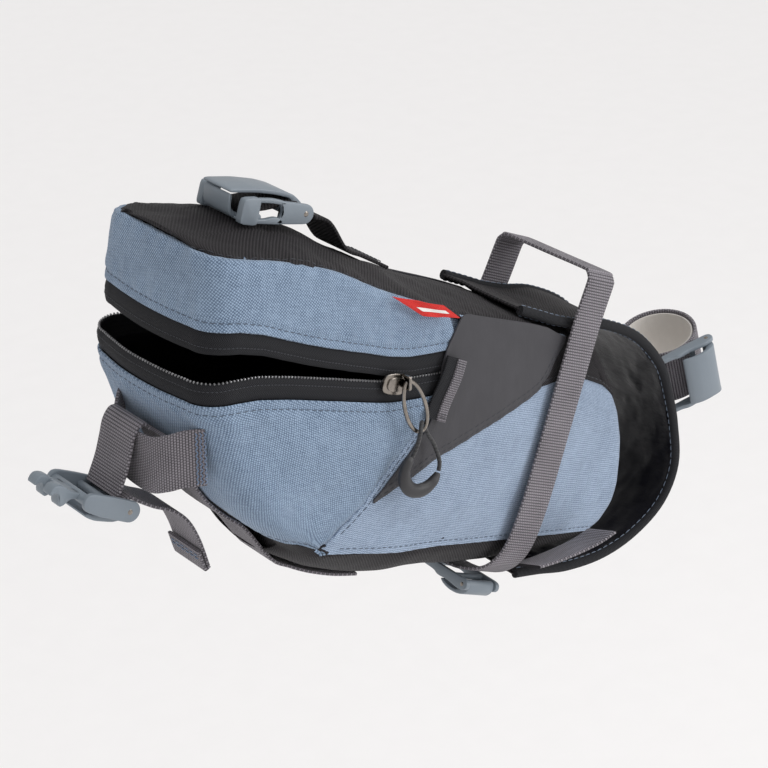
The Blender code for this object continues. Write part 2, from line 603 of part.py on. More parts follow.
def build_top_buckle():
    """The half on the lid: rails with an open mouth for the rear hook."""
    frame = frame_at(TOP_BUCKLE, (-0.96, 0, 0.28), (0.28, 0, 0.96))
    half = REAR_WEB / 2 + 0.5
    thick = 2.0
    rails = arc((-12.5, 0), 3.6, 90, 270, 5)
    rails += [(0, -3.8), (7, -4.0), (11, -3.9), (11, 4.0), (4, 4.4), (-4, 4.2)]
    swing = frame @ Vector((-12.5, 0, -5.2))
    bars = [(-5.5, 0.4, 1.5), (7.5, -2.2, 1.3)]
    body = hook_rails("top_buckle_frame", frame, 2 * half, rails, thick, bars, (-12.5, 0.2, 1.2), swing)
    lip = [(6, -2.9), (13, -3.2), (18.6, -0.6), (18.9, 4.6), (17.4, 4.6), (17.2, 0.6)]
    lip += [(12.8, -1.8), (6, -1.5)]
    boolean(body, prism("mouth_shape", lip, -7.5, 7.5, frame, BUCKLE), "UNION")
    pivot = frame @ Vector((-12.5, 0, 0.2))
    plate = [(-15.2, 0.8), (-14.6, -1.4), (-12.5, -2.4), (-10.3, -1.2), (-9.6, 1.6), (-8.6, 4.0)]
    plate += [(0, 4.9), (8, 5.0), (17.2, 5.1), (17.2, 6.3), (8, 6.6), (-2, 6.5), (-9, 5.6), (-13.4, 3.0)]
    lever = prism("top_buckle_lever", plate, -half + GAP, half - GAP, frame, BUCKLE, pivot=pivot)
    hole = bar("top_lever_hole", frame, -12.5, 0.2, 1.2 + GAP, -half - 1, half + 1, BUCKLE, 10)
    boolean(lever, hole, "DIFFERENCE")
    bar("top_buckle_pin", frame, -12.5, 0.2, 1.2, -half - thick, half + thick, METAL, 10, swing)


def main():
    clear_scene()
    build_body()
    build_lid()
    build_zip()
    build_hood()
    build_post_strap()
    build_rail_strap()
    build_rear()
    build_top_buckle()


main()
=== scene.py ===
"""The visual model of the saddle bag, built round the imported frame."""

import json
import math

import bmesh
import bpy
import numpy as np
from mathutils import Matrix, Vector, noise

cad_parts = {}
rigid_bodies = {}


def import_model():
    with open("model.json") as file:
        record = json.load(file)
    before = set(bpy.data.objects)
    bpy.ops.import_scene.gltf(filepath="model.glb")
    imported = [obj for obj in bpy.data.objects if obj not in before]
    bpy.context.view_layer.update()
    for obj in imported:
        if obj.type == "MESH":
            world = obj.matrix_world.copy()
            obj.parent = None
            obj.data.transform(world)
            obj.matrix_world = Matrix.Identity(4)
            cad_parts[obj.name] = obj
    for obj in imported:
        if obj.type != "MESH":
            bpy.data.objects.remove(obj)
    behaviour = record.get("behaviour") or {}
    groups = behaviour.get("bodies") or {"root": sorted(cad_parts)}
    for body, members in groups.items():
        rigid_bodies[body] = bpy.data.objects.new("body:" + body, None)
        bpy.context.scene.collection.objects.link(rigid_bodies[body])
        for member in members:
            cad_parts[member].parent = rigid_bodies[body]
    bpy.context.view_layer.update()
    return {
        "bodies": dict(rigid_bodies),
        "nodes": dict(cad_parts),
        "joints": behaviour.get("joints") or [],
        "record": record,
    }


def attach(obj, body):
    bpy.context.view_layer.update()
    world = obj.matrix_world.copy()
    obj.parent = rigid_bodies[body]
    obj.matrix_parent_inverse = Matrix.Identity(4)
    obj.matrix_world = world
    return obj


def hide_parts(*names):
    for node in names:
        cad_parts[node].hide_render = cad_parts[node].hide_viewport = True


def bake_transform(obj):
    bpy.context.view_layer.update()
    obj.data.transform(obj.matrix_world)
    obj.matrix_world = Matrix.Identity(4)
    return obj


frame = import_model()

# Pieces are made in millimetres and finished in metres. The stage is in metres.
MM = 0.001
NEAR, FAR = -1, 1
SIDES = ((NEAR, "near"), (FAR, "far"))
ACROSS = Vector((0, 1, 0))
REAR_RADIUS, NOSE_RADIUS = 12.5, 7.0
ZIP_END_C = 2.48
TAPE, TEETH, WEB = 8.0, 1.4, 1.4
WIDE_WEB, RAIL_WEB = 20, 15
REAR_STRAP_Y = 3.0
RAIL_SPACING, RAIL_RADIUS = 44.0, 3.5
RAIL_DOWN, RAIL_ALONG = (-0.40, 0, -0.9165), (0.9165, 0, -0.40)
RAIL_LOOP_DEPTH = 126.5
FLOOR_Z = -0.55
POST_RADIUS = 13.6
POST_TOP, POST_FOOT = Vector((47.1, 0.0, 0.0)), Vector((105.0, 0.0, -195.0))


def put_in_scene(name, data):
    made = bpy.data.objects.new(name, data)
    bpy.context.scene.collection.objects.link(made)
    return made


# The camera and the stage


def add_camera():
    azimuth, elevation = math.radians(-38.94), math.radians(25.6)
    back = Vector((
        math.sin(azimuth) * math.cos(elevation),
        -math.cos(azimuth) * math.cos(elevation),
        math.sin(elevation),
    ))
    data = bpy.data.cameras.new("camera")
    data.lens = 108.66
    data.sensor_width = 36
    data.clip_end = 60
    camera = put_in_scene("camera", data)
    place = Matrix.Translation((-0.5840, -0.6163, 0.3531))
    camera.matrix_world = place @ back.to_track_quat("Z", "Y").to_matrix().to_4x4()
    bpy.context.scene.camera = camera


def add_light(name, place, size, energy):
    data = bpy.data.lights.new(name, "AREA")
    data.shape = "DISK"
    data.size = size
    data.energy = energy
    lamp = put_in_scene(name, data)
    lamp.location = place
    aim = Vector((-0.05, 0, -0.02)) - Vector(place)
    lamp.rotation_euler = aim.to_track_quat("-Z", "Y").to_euler()


def add_stage():
    world = bpy.data.worlds.new("studio")
    bpy.context.scene.world = world
    world.use_nodes = True
    backdrop = world.node_tree.nodes["Background"]
    backdrop.inputs["Color"].default_value = (1.0, 0.99, 0.985, 1)
    backdrop.inputs["Strength"].default_value = 0.60
    bpy.context.scene.view_settings.view_transform = "Standard"
    daylight = bpy.data.lights.new("daylight", "SUN")
    daylight.energy = 1.15
    daylight.angle = math.radians(50)
    sun = put_in_scene("daylight", daylight)
    sun.rotation_euler = Vector((0.45, -0.45, 1.0)).to_track_quat("Z", "Y").to_euler()
    add_light("right_side", (1.0, -1.3, 0.40), 0.8, 9)
    add_light("left_fill", (-1.5, -0.8, 0.6), 0.9, 1.0)
    made = bmesh.new()
    bmesh.ops.create_grid(made, x_segments=4, y_segments=4, size=9)
    data = bpy.data.meshes.new("floor")
    made.to_mesh(data)
    floor = put_in_scene("floor", data)
    floor.location = (0, 0, FLOOR_Z)
    look = Look("floor paint")
    grain = look.noise(look.generated(), 40, 4)
    look.color(look.mix(grain, (0.90, 0.89, 0.89), (0.93, 0.92, 0.92)))
    data.materials.append(look.done(Roughness=0.9, Specular_IOR_Level=0.1))


# Materials


class Look:
    """A Principled material and the few node steps that these looks share."""

    def __init__(self, name):
        self.material = bpy.data.materials.new(name)
        self.material.use_nodes = True
        self.tree = self.material.node_tree
        self.shader = self.tree.nodes["Principled BSDF"]

    def put(self, kind, inputs=None, **settings):
        node = self.tree.nodes.new(kind)
        for key, value in settings.items():
            setattr(node, key, value)
        for key, value in (inputs or {}).items():
            if isinstance(value, bpy.types.NodeSocket):
                self.tree.links.new(value, node.inputs[key])
            else:
                node.inputs[key].default_value = value
        return node

    def calc(self, operation, *values):
        node = self.put("ShaderNodeMath", dict(enumerate(values)), operation=operation)
        return node.outputs[0]

    def times(self, value, factor):
        return self.calc("MULTIPLY", value, factor)

    def plus(self, value, other):
        return self.calc("ADD", value, other)

    def scale(self, value, factor, offset):
        """value * factor + offset."""
        return self.calc("MULTIPLY_ADD", value, factor, offset)

    def uv(self, turn=0.0):
        """The two coordinates of the cloth, in millimetres, turned by an angle in degrees."""
        place = self.put("ShaderNodeUVMap", uv_map="cloth").outputs[0]
        turned = self.put("ShaderNodeVectorRotate", {"Vector": place, "Angle": math.radians(turn)})
        split = self.put("ShaderNodeSeparateXYZ", {0: turned.outputs[0]})
        return split.outputs[0], split.outputs[1], place

    def generated(self):
        return self.put("ShaderNodeTexCoord").outputs["Object"]

    def noise(self, place, scale, detail=3.0, stretch=(1, 1, 1)):
        mapped = self.put("ShaderNodeMapping", {"Vector": place, "Scale": stretch})
        return self.put(
            "ShaderNodeTexNoise", {"Vector": mapped.outputs[0], "Scale": scale, "Detail": detail}
        ).outputs[0]

    def wave(self, value, pitch):
        """0 to 1 and back over one pitch."""
        turns = self.times(value, 2 * math.pi / pitch)
        return self.scale(self.calc("SINE", turns), 0.5, 0.5)

    def ridge(self, value, pitch):
        """The height of a round thread every pitch."""
        return self.calc("ABSOLUTE", self.calc("SINE", self.times(value, math.pi / pitch)))

    def mix(self, share, low, high):
        node = self.put("ShaderNodeMix", data_type="RGBA")
        self.tree.links.new(share, node.inputs["Factor"])
        for key, value in (("A", low), ("B", high)):
            socket = [s for s in node.inputs if s.name == key and s.type == "RGBA"][0]
            if isinstance(value, bpy.types.NodeSocket):
                self.tree.links.new(value, socket)
            else:
                socket.default_value = (*value, 1)
        return [s for s in node.outputs if s.type == "RGBA"][0]

    def color(self, socket):
        self.tree.links.new(socket, self.shader.inputs["Base Color"])

    def rough(self, low, high, share):
        spread = self.put("ShaderNodeMapRange", {"Value": share, "To Min": low, "To Max": high})
        self.tree.links.new(spread.outputs[0], self.shader.inputs["Roughness"])

    def bump(self, height, depth, strength):
        """Raises the surface by a height of up to depth millimetres."""
        made = self.put("ShaderNodeBump", {"Height": height, "Distance": depth * MM, "Strength": strength})
        self.tree.links.new(made.outputs[0], self.shader.inputs["Normal"])

    def cloth(self, shade, dark, light):
        """Colours cloth from a shade: dark between its threads and light on them. The dark between the
        threads is painted shade in the gaps; the yarn and mottle noise in the shade are the cloth's own tone.
        """
        clamped = self.put("ShaderNodeClamp", {"Value": shade}).outputs[0]
        self.color(self.mix(clamped, dark, light))

    def done(self, **values):
        for key, value in values.items():
            self.shader.inputs[key.replace("_", " ")].default_value = value
        return self.material


def plain_weave(name, light, dark, pitch, turn, depth=0.22, sheen=0.25):
    """Over-and-under cloth with round threads and uneven yarn."""
    look = Look(name)
    u, v, place = look.uv(turn)
    wobble = look.noise(place, 0.22, 2)
    u = look.scale(wobble, 0.5, u)
    v = look.scale(wobble, 0.5, v)
    across, down = look.ridge(u, pitch), look.ridge(v, pitch)
    one = look.times(across, look.scale(down, 0.5, 0.5))
    two = look.times(down, look.scale(across, 0.5, 0.5))
    parity = look.times(*(look.calc("SINE", look.times(way, math.pi / pitch)) for way in (u, v)))
    over = look.calc("GREATER_THAN", parity, 0.0)
    height = look.scale(over, look.calc("SUBTRACT", one, two), two)
    yarn = look.noise(place, 1.1, 2, (0.12, 1.0, 1.0))
    cross_yarn = look.noise(place, 1.1, 2, (1.0, 0.12, 1.0))
    mottle = look.noise(place, 0.05, 4)
    # The thread height sets the shade: the lower threads and the gaps between them get painted shade.
    cell = look.calc("POWER", height, 1.6)
    shade = look.scale(cell, 1.15, look.scale(yarn, 0.6, -0.42))
    shade = look.plus(shade, look.scale(cross_yarn, 0.6, -0.3))
    shade = look.scale(over, 0.14, shade)
    shade = look.plus(shade, look.scale(mottle, 0.5, -0.16))
    look.cloth(shade, dark, light)
    look.rough(0.78, 0.92, yarn)
    look.bump(height, depth, 0.8)
    return look.done(Sheen_Weight=sheen, Sheen_Roughness=0.45, Specular_IOR_Level=0.25)


def diagonal_rib(name, light, dark, turn):
    """Heavy nylon with diagonal ribs broken by their cross threads."""
    look = Look(name)
    pitch = 1.15
    u, v, place = look.uv(turn)
    rib = look.wave(u, pitch)
    cross = look.ridge(look.scale(rib, 0.35, v), pitch * 0.8)
    height = look.times(rib, look.scale(cross, 0.55, 0.45))
    yarn = look.noise(place, 1.4, 3)
    mottle = look.noise(place, 0.06, 3)
    # The rib height sets the shade: the grooves between the ribs get painted shade; the yarn and mottle noise
    # are the cloth's own tone.
    shade = look.scale(height, 0.9, look.scale(yarn, 0.5, -0.3))
    shade = look.plus(shade, look.scale(mottle, 0.4, -0.2))
    look.cloth(shade, dark, light)
    look.rough(0.62, 0.85, yarn)
    look.bump(height, 0.3, 0.9)
    return look.done(Sheen_Weight=0.03, Sheen_Roughness=0.5, Specular_IOR_Level=0.3)


def webbing(name, light, dark, row, column):
    """Strap webbing: rows of light yarn across the strap, with the dots between them painted dark as shade.
    """
    look = Look(name)
    u, v, place = look.uv()
    step = look.calc("FLOOR", look.calc("DIVIDE", u, row))
    shifted = look.scale(step, column / 2, v)
    rows = look.ridge(u, row)
    dots = look.ridge(shifted, column)
    height = look.times(look.calc("POWER", rows, 0.6), look.scale(dots, 0.6, 0.4))
    yarn = look.noise(place, 1.6, 3)
    fade = look.noise(place, 0.07, 3)
    # The yarn's height sets the shade: the dots between the rows get painted shade; the yarn and fade noise
    # are the webbing's own tone.
    shade = look.scale(height, 0.95, look.scale(yarn, 0.4, -0.3))
    shade = look.plus(shade, look.scale(fade, 0.3, -0.15))
    look.cloth(shade, dark, light)
    look.rough(0.68, 0.9, yarn)
    look.bump(height, 0.32, 0.9)
    return look.done(Sheen_Weight=0.15, Sheen_Roughness=0.4, Specular_IOR_Level=0.3)


def herringbone(name, light, dark):
    look = Look(name)
    u, v, place = look.uv()
    zig = look.calc("PINGPONG", v, 1.3)
    rib = look.wave(look.scale(zig, 0.9, u), 0.75)
    yarn = look.noise(place, 1.2, 3)
    # The rib sets the shade: the grooves between the ribs get painted shade; the yarn noise is the tape's own
    # tone.
    shade = look.scale(yarn, 0.4, look.scale(rib, 0.8, -0.15))
    look.cloth(shade, dark, light)
    look.rough(0.7, 0.9, yarn)
    look.bump(rib, 0.18, 0.8)
    return look.done(Sheen_Weight=0.02, Specular_IOR_Level=0.25)


def coated(name, light, dark, low, high, depth, scale=0.35, spec=0.4):
    """A smooth coated cloth: faint weave, slow shade changes and small creases."""
    look = Look(name)
    u, v, place = look.uv(20)
    weave = look.times(look.ridge(u, 0.5), look.ridge(v, 0.5))
    creases = look.noise(place, scale, 5, (1.0, 0.35, 1.0))
    mottle = look.noise(place, 0.08, 4)
    # The faint weave darkens the gaps between its threads as painted shade; the mottle is the cloth's own
    # tone.
    look.color(look.mix(look.scale(weave, 0.25, look.times(mottle, 0.8)), dark, light))
    look.rough(low, high, creases)
    height = look.scale(weave, 0.06, creases)
    look.bump(height, depth, 0.6)
    return look.done(Specular_IOR_Level=spec)


def plastic(name, light, dark, low=0.34, high=0.5, grain=0.035):
    """Moulded plastic: fine spark grain, slow flow marks and rubbed edges."""
    look = Look(name)
    place = look.generated()
    fine = look.noise(place, 5200, 2)
    flow = look.noise(place, 90, 4, (1.0, 2.4, 1.0))
    edge = look.put("ShaderNodeNewGeometry").outputs["Pointiness"]
    rubbed = look.put(
        "ShaderNodeMapRange",
        {"Value": edge, "From Min": 0.51, "From Max": 0.62, "To Min": 0.0, "To Max": 0.5},
    ).outputs[0]
    base = look.mix(flow, dark, light)
    worn = tuple(min(1.0, c * 1.35 + 0.02) for c in light)
    look.color(look.mix(rubbed, base, worn))
    look.rough(low, high, flow)
    look.bump(fine, grain, 0.5)
    return look.done(Specular_IOR_Level=0.45)


def metal(name, light, dark, low=0.16, high=0.34):
    look = Look(name)
    place = look.generated()
    smear = look.noise(place, 420, 4)
    scratch = look.noise(place, 2600, 2, (1.0, 1.0, 0.12))
    look.color(look.mix(smear, dark, light))
    look.rough(low, high, scratch)
    look.bump(scratch, 0.02, 0.4)
    return look.done(Metallic=1.0)


def thread_look(name, light, dark):
    look = Look(name)
    place = look.generated()
    twist = look.noise(place, 3200, 2)
    look.color(look.mix(twist, dark, light))
    look.rough(0.45, 0.7, twist)
    look.bump(twist, 0.05, 0.6)
    return look.done(Sheen_Weight=0.1)


def braid(name, light, dark):
    """Round braided cord: two sets of strands that cross."""
    look = Look(name)
    pitch = 1.5
    place = look.generated()
    parts = look.put("ShaderNodeSeparateXYZ", {0: place})
    x, y, z = (look.times(parts.outputs[k], 1000.0) for k in range(3))
    lean = look.plus(look.times(x, 0.6), y)
    one = look.wave(look.plus(z, lean), pitch)
    two = look.wave(look.calc("SUBTRACT", z, lean), pitch)
    height = look.calc("MAXIMUM", one, two)
    fuzz = look.noise(place, 4000, 2)
    # The strands' height sets the colour: the gaps between the strands get painted shade; the fuzz noise is
    # the cord's own tone.
    look.color(look.mix(look.times(height, fuzz), dark, light))
    look.rough(0.5, 0.75, fuzz)
    look.bump(height, 0.15, 0.8)
    return look.done(Sheen_Weight=0.15)


BLUE_LIGHT, BLUE_DARK = (0.325, 0.43, 0.575), (0.085, 0.13, 0.205)
BLUE_REAR = plain_weave("blue cloth, rear cut", BLUE_LIGHT, BLUE_DARK, 0.94, 24)
# The front panels get a lighter copy of the same blue cloth. This is painted light, where the lamps fall
# brighter on the front of the flank. Its pitch and turn are the front cut's own.
BLUE_FRONT_PAINTED_LIT = plain_weave("blue cloth, front cut, painted lighter", (0.40, 0.50, 0.65), (0.14, 0.19, 0.28), 0.86, 4)
BLUE_LID = plain_weave("blue cloth, lid cut", BLUE_LIGHT, BLUE_DARK, 0.88, 31)
BLACK_DARK = (0.004, 0.0035, 0.0045)
BLACK = diagonal_rib("black ribbed nylon", (0.034, 0.029, 0.034), BLACK_DARK, 38)
BLACK_CROSS = diagonal_rib("black nylon, cross cut", (0.032, 0.027, 0.032), BLACK_DARK, -35)
LAMINATE = coated("dark grey laminate", (0.050, 0.049, 0.056), (0.030, 0.029, 0.034), 0.5, 0.66, 0.25, 0.2)
LINING = coated("lining", (0.006, 0.006, 0.010), (0.002, 0.002, 0.004), 0.24, 0.42, 1.2, 0.12, 0.2)
TAPE_LOOK = herringbone("zip tape", (0.026, 0.027, 0.032), (0.005, 0.005, 0.006))
TEETH_LOOK = metal("zip coil", (0.42, 0.42, 0.43), (0.10, 0.10, 0.11), 0.3, 0.5)
METAL = metal("nickel", (0.36, 0.325, 0.29), (0.15, 0.135, 0.12))
GREY_WEB = webbing("grey webbing", (0.37, 0.345, 0.38), (0.010, 0.009, 0.012), 1.12, 1.05)
GREY_WEB_FINE = webbing("grey webbing, fine", (0.30, 0.28, 0.31), (0.02, 0.018, 0.022), 0.85, 0.8)
BUCKLE = plastic("grey plastic", (0.20, 0.235, 0.27), (0.165, 0.195, 0.228))
RED = plain_weave("red label cloth", (0.80, 0.045, 0.035), (0.48, 0.012, 0.012), 0.35, 0, 0.08, 0.1)
WHITE_THREAD = thread_look("white label yarn", (0.85, 0.83, 0.80), (0.6, 0.58, 0.56))
CORD_LOOK = braid("pull cord", (0.06, 0.06, 0.064), (0.008, 0.008, 0.009))
GRIP_LOOK = plastic("grip plastic", (0.035, 0.034, 0.037), (0.018, 0.018, 0.02), 0.38, 0.55, 0.05)
RUBBER = coated("grip face", (0.72, 0.69, 0.65), (0.55, 0.52, 0.49), 0.6, 0.8, 0.3)
BLUE_THREAD = thread_look("blue thread", (0.20, 0.28, 0.42), (0.10, 0.15, 0.24))
DARK_THREAD = thread_look("dark thread", (0.03, 0.034, 0.045), (0.012, 0.013, 0.018))
STEEL_THREAD = thread_look("steel blue thread", (0.11, 0.15, 0.21), (0.045, 0.06, 0.09))
SLATE_THREAD = thread_look("slate thread", (0.20, 0.25, 0.33), (0.10, 0.13, 0.19))


# The bag's surfaces. Lengths are in millimetres until a piece is finished.


def ease(x, places, values, reach):
    """Linear interpolation with its corners rounded over a reach on each side."""
    near = np.interp([x - reach, x - reach / 2, x, x + reach / 2, x + reach], places, values)
    return float(near @ (1, 2, 3, 2, 1)) / 9


def base_z(x):
    return float(np.interp(x, [-190, 30], [-50.0, -121.8]))


def top_z(x):
    places = [-190, -178, -159, -134, -114, -76, -34, -15, 30]
    return ease(x, places, [61, 58, 53, 43, 30, 10, -8, -18, -40], 9)


def half_width(x, t):
    low = ease(x, [-187, -150, -105, -49, 6, 22], [34.5, 35.5, 33, 27, 19.5, 18], 12)
    high = ease(x, [-187, -130, -80, -10, 22], [34.2, 34.8, 32.5, 23, 19], 12)
    bulge = ease(x, [-187, -60, 22], [3.0, 2.5, 0.8], 12)
    return low + (high - low) * t + bulge * 4 * t * (1 - t)


def rear_x(t):
    levels = [0, 0.06, 0.13, 0.21, 0.35, 0.5, 0.62, 0.7, 0.85, 1]
    return ease(t, levels, [-153, -165, -175, -181, -188, -193, -194, -190, -188.5, -186.5], 0.03)


def nose_x(t):
    levels = [0, 0.05, 0.1, 0.16, 0.25, 0.5, 0.65, 0.8, 0.9, 1]
    return ease(t, levels, [8, 14.5, 19, 22.5, 25, 26, 22.5, 15, 9, 2], 0.03)


def wall(side, c, t):
    """A point of the bag's wall: c is 0 at the middle of the rear and 5 at the nose, t is 0 at the base."""
    rear, nose = rear_x(t), nose_x(t)
    if c < 2:
        x = rear + REAR_RADIUS
        half = half_width(x, t)
        if c < 1:
            y = c * (half - REAR_RADIUS)
            x = rear - 2.5 * (1 - c * c) * min(1, 4 * t * (1 - t))
        else:
            turn = (c - 1) * math.pi / 2
            x, y = x - REAR_RADIUS * math.cos(turn), half - REAR_RADIUS * (1 - math.sin(turn))
    elif c <= 3:
        start, end = rear + REAR_RADIUS, nose - NOSE_RADIUS
        x = start + (c - 2) * (end - start)
        y = half_width(x, t)
    else:
        x = nose - NOSE_RADIUS
        half = half_width(x, t)
        if c < 4:
            turn = (c - 3) * math.pi / 2
            x, y = x + NOSE_RADIUS * math.sin(turn), half - NOSE_RADIUS * (1 - math.cos(turn))
        else:
            x, y = nose, (5 - c) * (half - NOSE_RADIUS)
    z = base_z(x) + (top_z(x) - base_z(x)) * t
    return np.array((x, side * y, z))


def lower_teeth_z(x):
    return ease(x, [-187, -174, -153, -112, -84, 30], [17.5, 17, 10.5, -4, -9, -30], 9)


def upper_teeth_z(x):
    places = [-187, -174, -153, -135, -116, -106]
    return lower_teeth_z(x) + ease(x, places, [8.5, 7.5, 3.6, 2.0, 1.1, -0.9], 6)


def level_line(height):
    """The level at which each column of the wall reaches a height given as a function of x."""
    columns = np.linspace(0, 3.8, 77)
    levels = []
    for c in columns:
        low, high = 0.0, 1.0
        for _ in range(16):
            middle = (low + high) / 2
            point = wall(NEAR, c, middle)
            low, high = (low, middle) if point[2] > height(point[0]) else (middle, high)
        levels.append(low)
    return lambda c: float(np.interp(c, columns, levels))


def beside(side, x, z, out):
    """A point beside the bag's flat flank, out from its outer face."""
    level = (z - base_z(x)) / (top_z(x) - base_z(x))
    return np.array((x, side * (half_width(x, level) + out), z))


def seam_column(t):
    """Where the seam between the rear and front side panels crosses a level, as a column."""
    x = ease(t, [0, 0.178, 0.29, 0.493, 0.66, 1], [-146, -125, -116.4, -100, -88, -87], 0.02)
    start, end = rear_x(t) + REAR_RADIUS, nose_x(t) - NOSE_RADIUS
    return 2 + (x - start) / (end - start)


# Mesh tools


def field(points, *layers):
    """Smooth noise over a grid of points, from (size, height) layers."""
    made = np.zeros(points.shape[:2])
    for size, height in layers:
        for i, j in np.ndindex(*made.shape):
            made[i, j] += height * noise.noise(Vector(points[i, j]) / size)
    return made


def crease(points, start, end, width, depth):
    """A soft fold along a line: a ridge if depth is over 0, a valley below."""
    start, end = np.array(start, float), np.array(end, float)
    along = end - start
    share = np.clip(((points - start) @ along) / (along @ along), 0, 1)
    away = np.linalg.norm(points - (start + share[..., None] * along), axis=-1)
    fade = np.sin(np.pi * np.clip(share, 0.06, 0.94)) ** 0.5
    return depth * fade * np.exp(-((away / width) ** 2))


def grid_normals(grid, flip=False):
    made = np.cross(np.gradient(grid, axis=0), np.gradient(grid, axis=1))
    made /= np.linalg.norm(made, axis=2, keepdims=True) + 1e-9
    return -made if flip else made


def cumulative(grid, axis):
    steps = np.linalg.norm(np.diff(grid, axis=axis), axis=2)
    start = np.zeros_like(steps[:1] if axis == 0 else steps[:, :1])
    return np.concatenate([start, np.cumsum(steps, axis=axis)], axis=axis)


def raised(grid, relief, flip=False):
    """The grid moved out along its normals by a relief."""
    return grid + grid_normals(grid, flip) * np.asarray(relief)[..., None]


def circle(middle, one, two, count):
    """A ring of points round a middle, by way of middle + one and middle + two."""
    turns = [2 * math.pi * k / count for k in range(count)]
    return [middle + one * math.cos(a) + two * math.sin(a) for a in turns]


def oval(wide, high):
    """The cross-section of a cord or a wire."""
    turns = np.radians(np.arange(0, 360, 30))
    return [(wide * math.cos(a), high * math.sin(a)) for a in turns]


def measured(line, facing):
    """The length of a line of points, and its point and its normal at a distance along it."""
    line, facing = np.array(line, float), np.array(facing, float)
    reach = np.concatenate([[0], np.cumsum(np.linalg.norm(np.diff(line, axis=0), axis=1))])
    at = lambda s, values: Vector([np.interp(s, reach, values[:, k]) for k in range(3)])
    return reach[-1], lambda s: at(s, line), lambda s: at(s, facing)


def seam_relief(grid, seams, tuck=0.9, pucker=0.28, flat=()):
    """How far a panel pulls in at the borders it is sewn at, with the small puckers of the stitches.

    A flat seam is a folded edge topstitched over what lies under it: it dips along its stitches only.
    """
    along, up = cumulative(grid, 0), cumulative(grid, 1)
    ways = {
        "first": (along, up),
        "last": (along[-1:] - along, up),
        "low": (up, along),
        "top": (up[:, -1:] - up, along),
    }
    made = np.zeros(grid.shape[:2])
    for seam in flat:
        away, run = ways[seam]
        made -= 0.45 * np.exp(-(((away - 3.0) / 0.9) ** 2))
        ripple = np.sin(2 * math.pi * run / 8.3 + np.sin(run / 9))
        made += 0.25 * np.exp(-(((away - 6.0) / 3.0) ** 2)) * ripple
    for seam in seams:
        away, run = ways[seam]
        made -= tuck * np.exp(-((away / 1.8) ** 2))
        wobble = 0.6 * np.sin(run / 11.0 + 1.3) + 0.4 * np.sin(run / 4.7)
        made += pucker * np.exp(-away / 4.5) * np.sin(2 * math.pi * run / 7.4 + 2.2 * wobble)
    return made


STITCH_SHAPE = ((0, -0.9, 0.6), (0.2, 0.4, 1), (0.5, 1, 1.1), (0.8, 0.4, 1), (1, -0.9, 0.6))


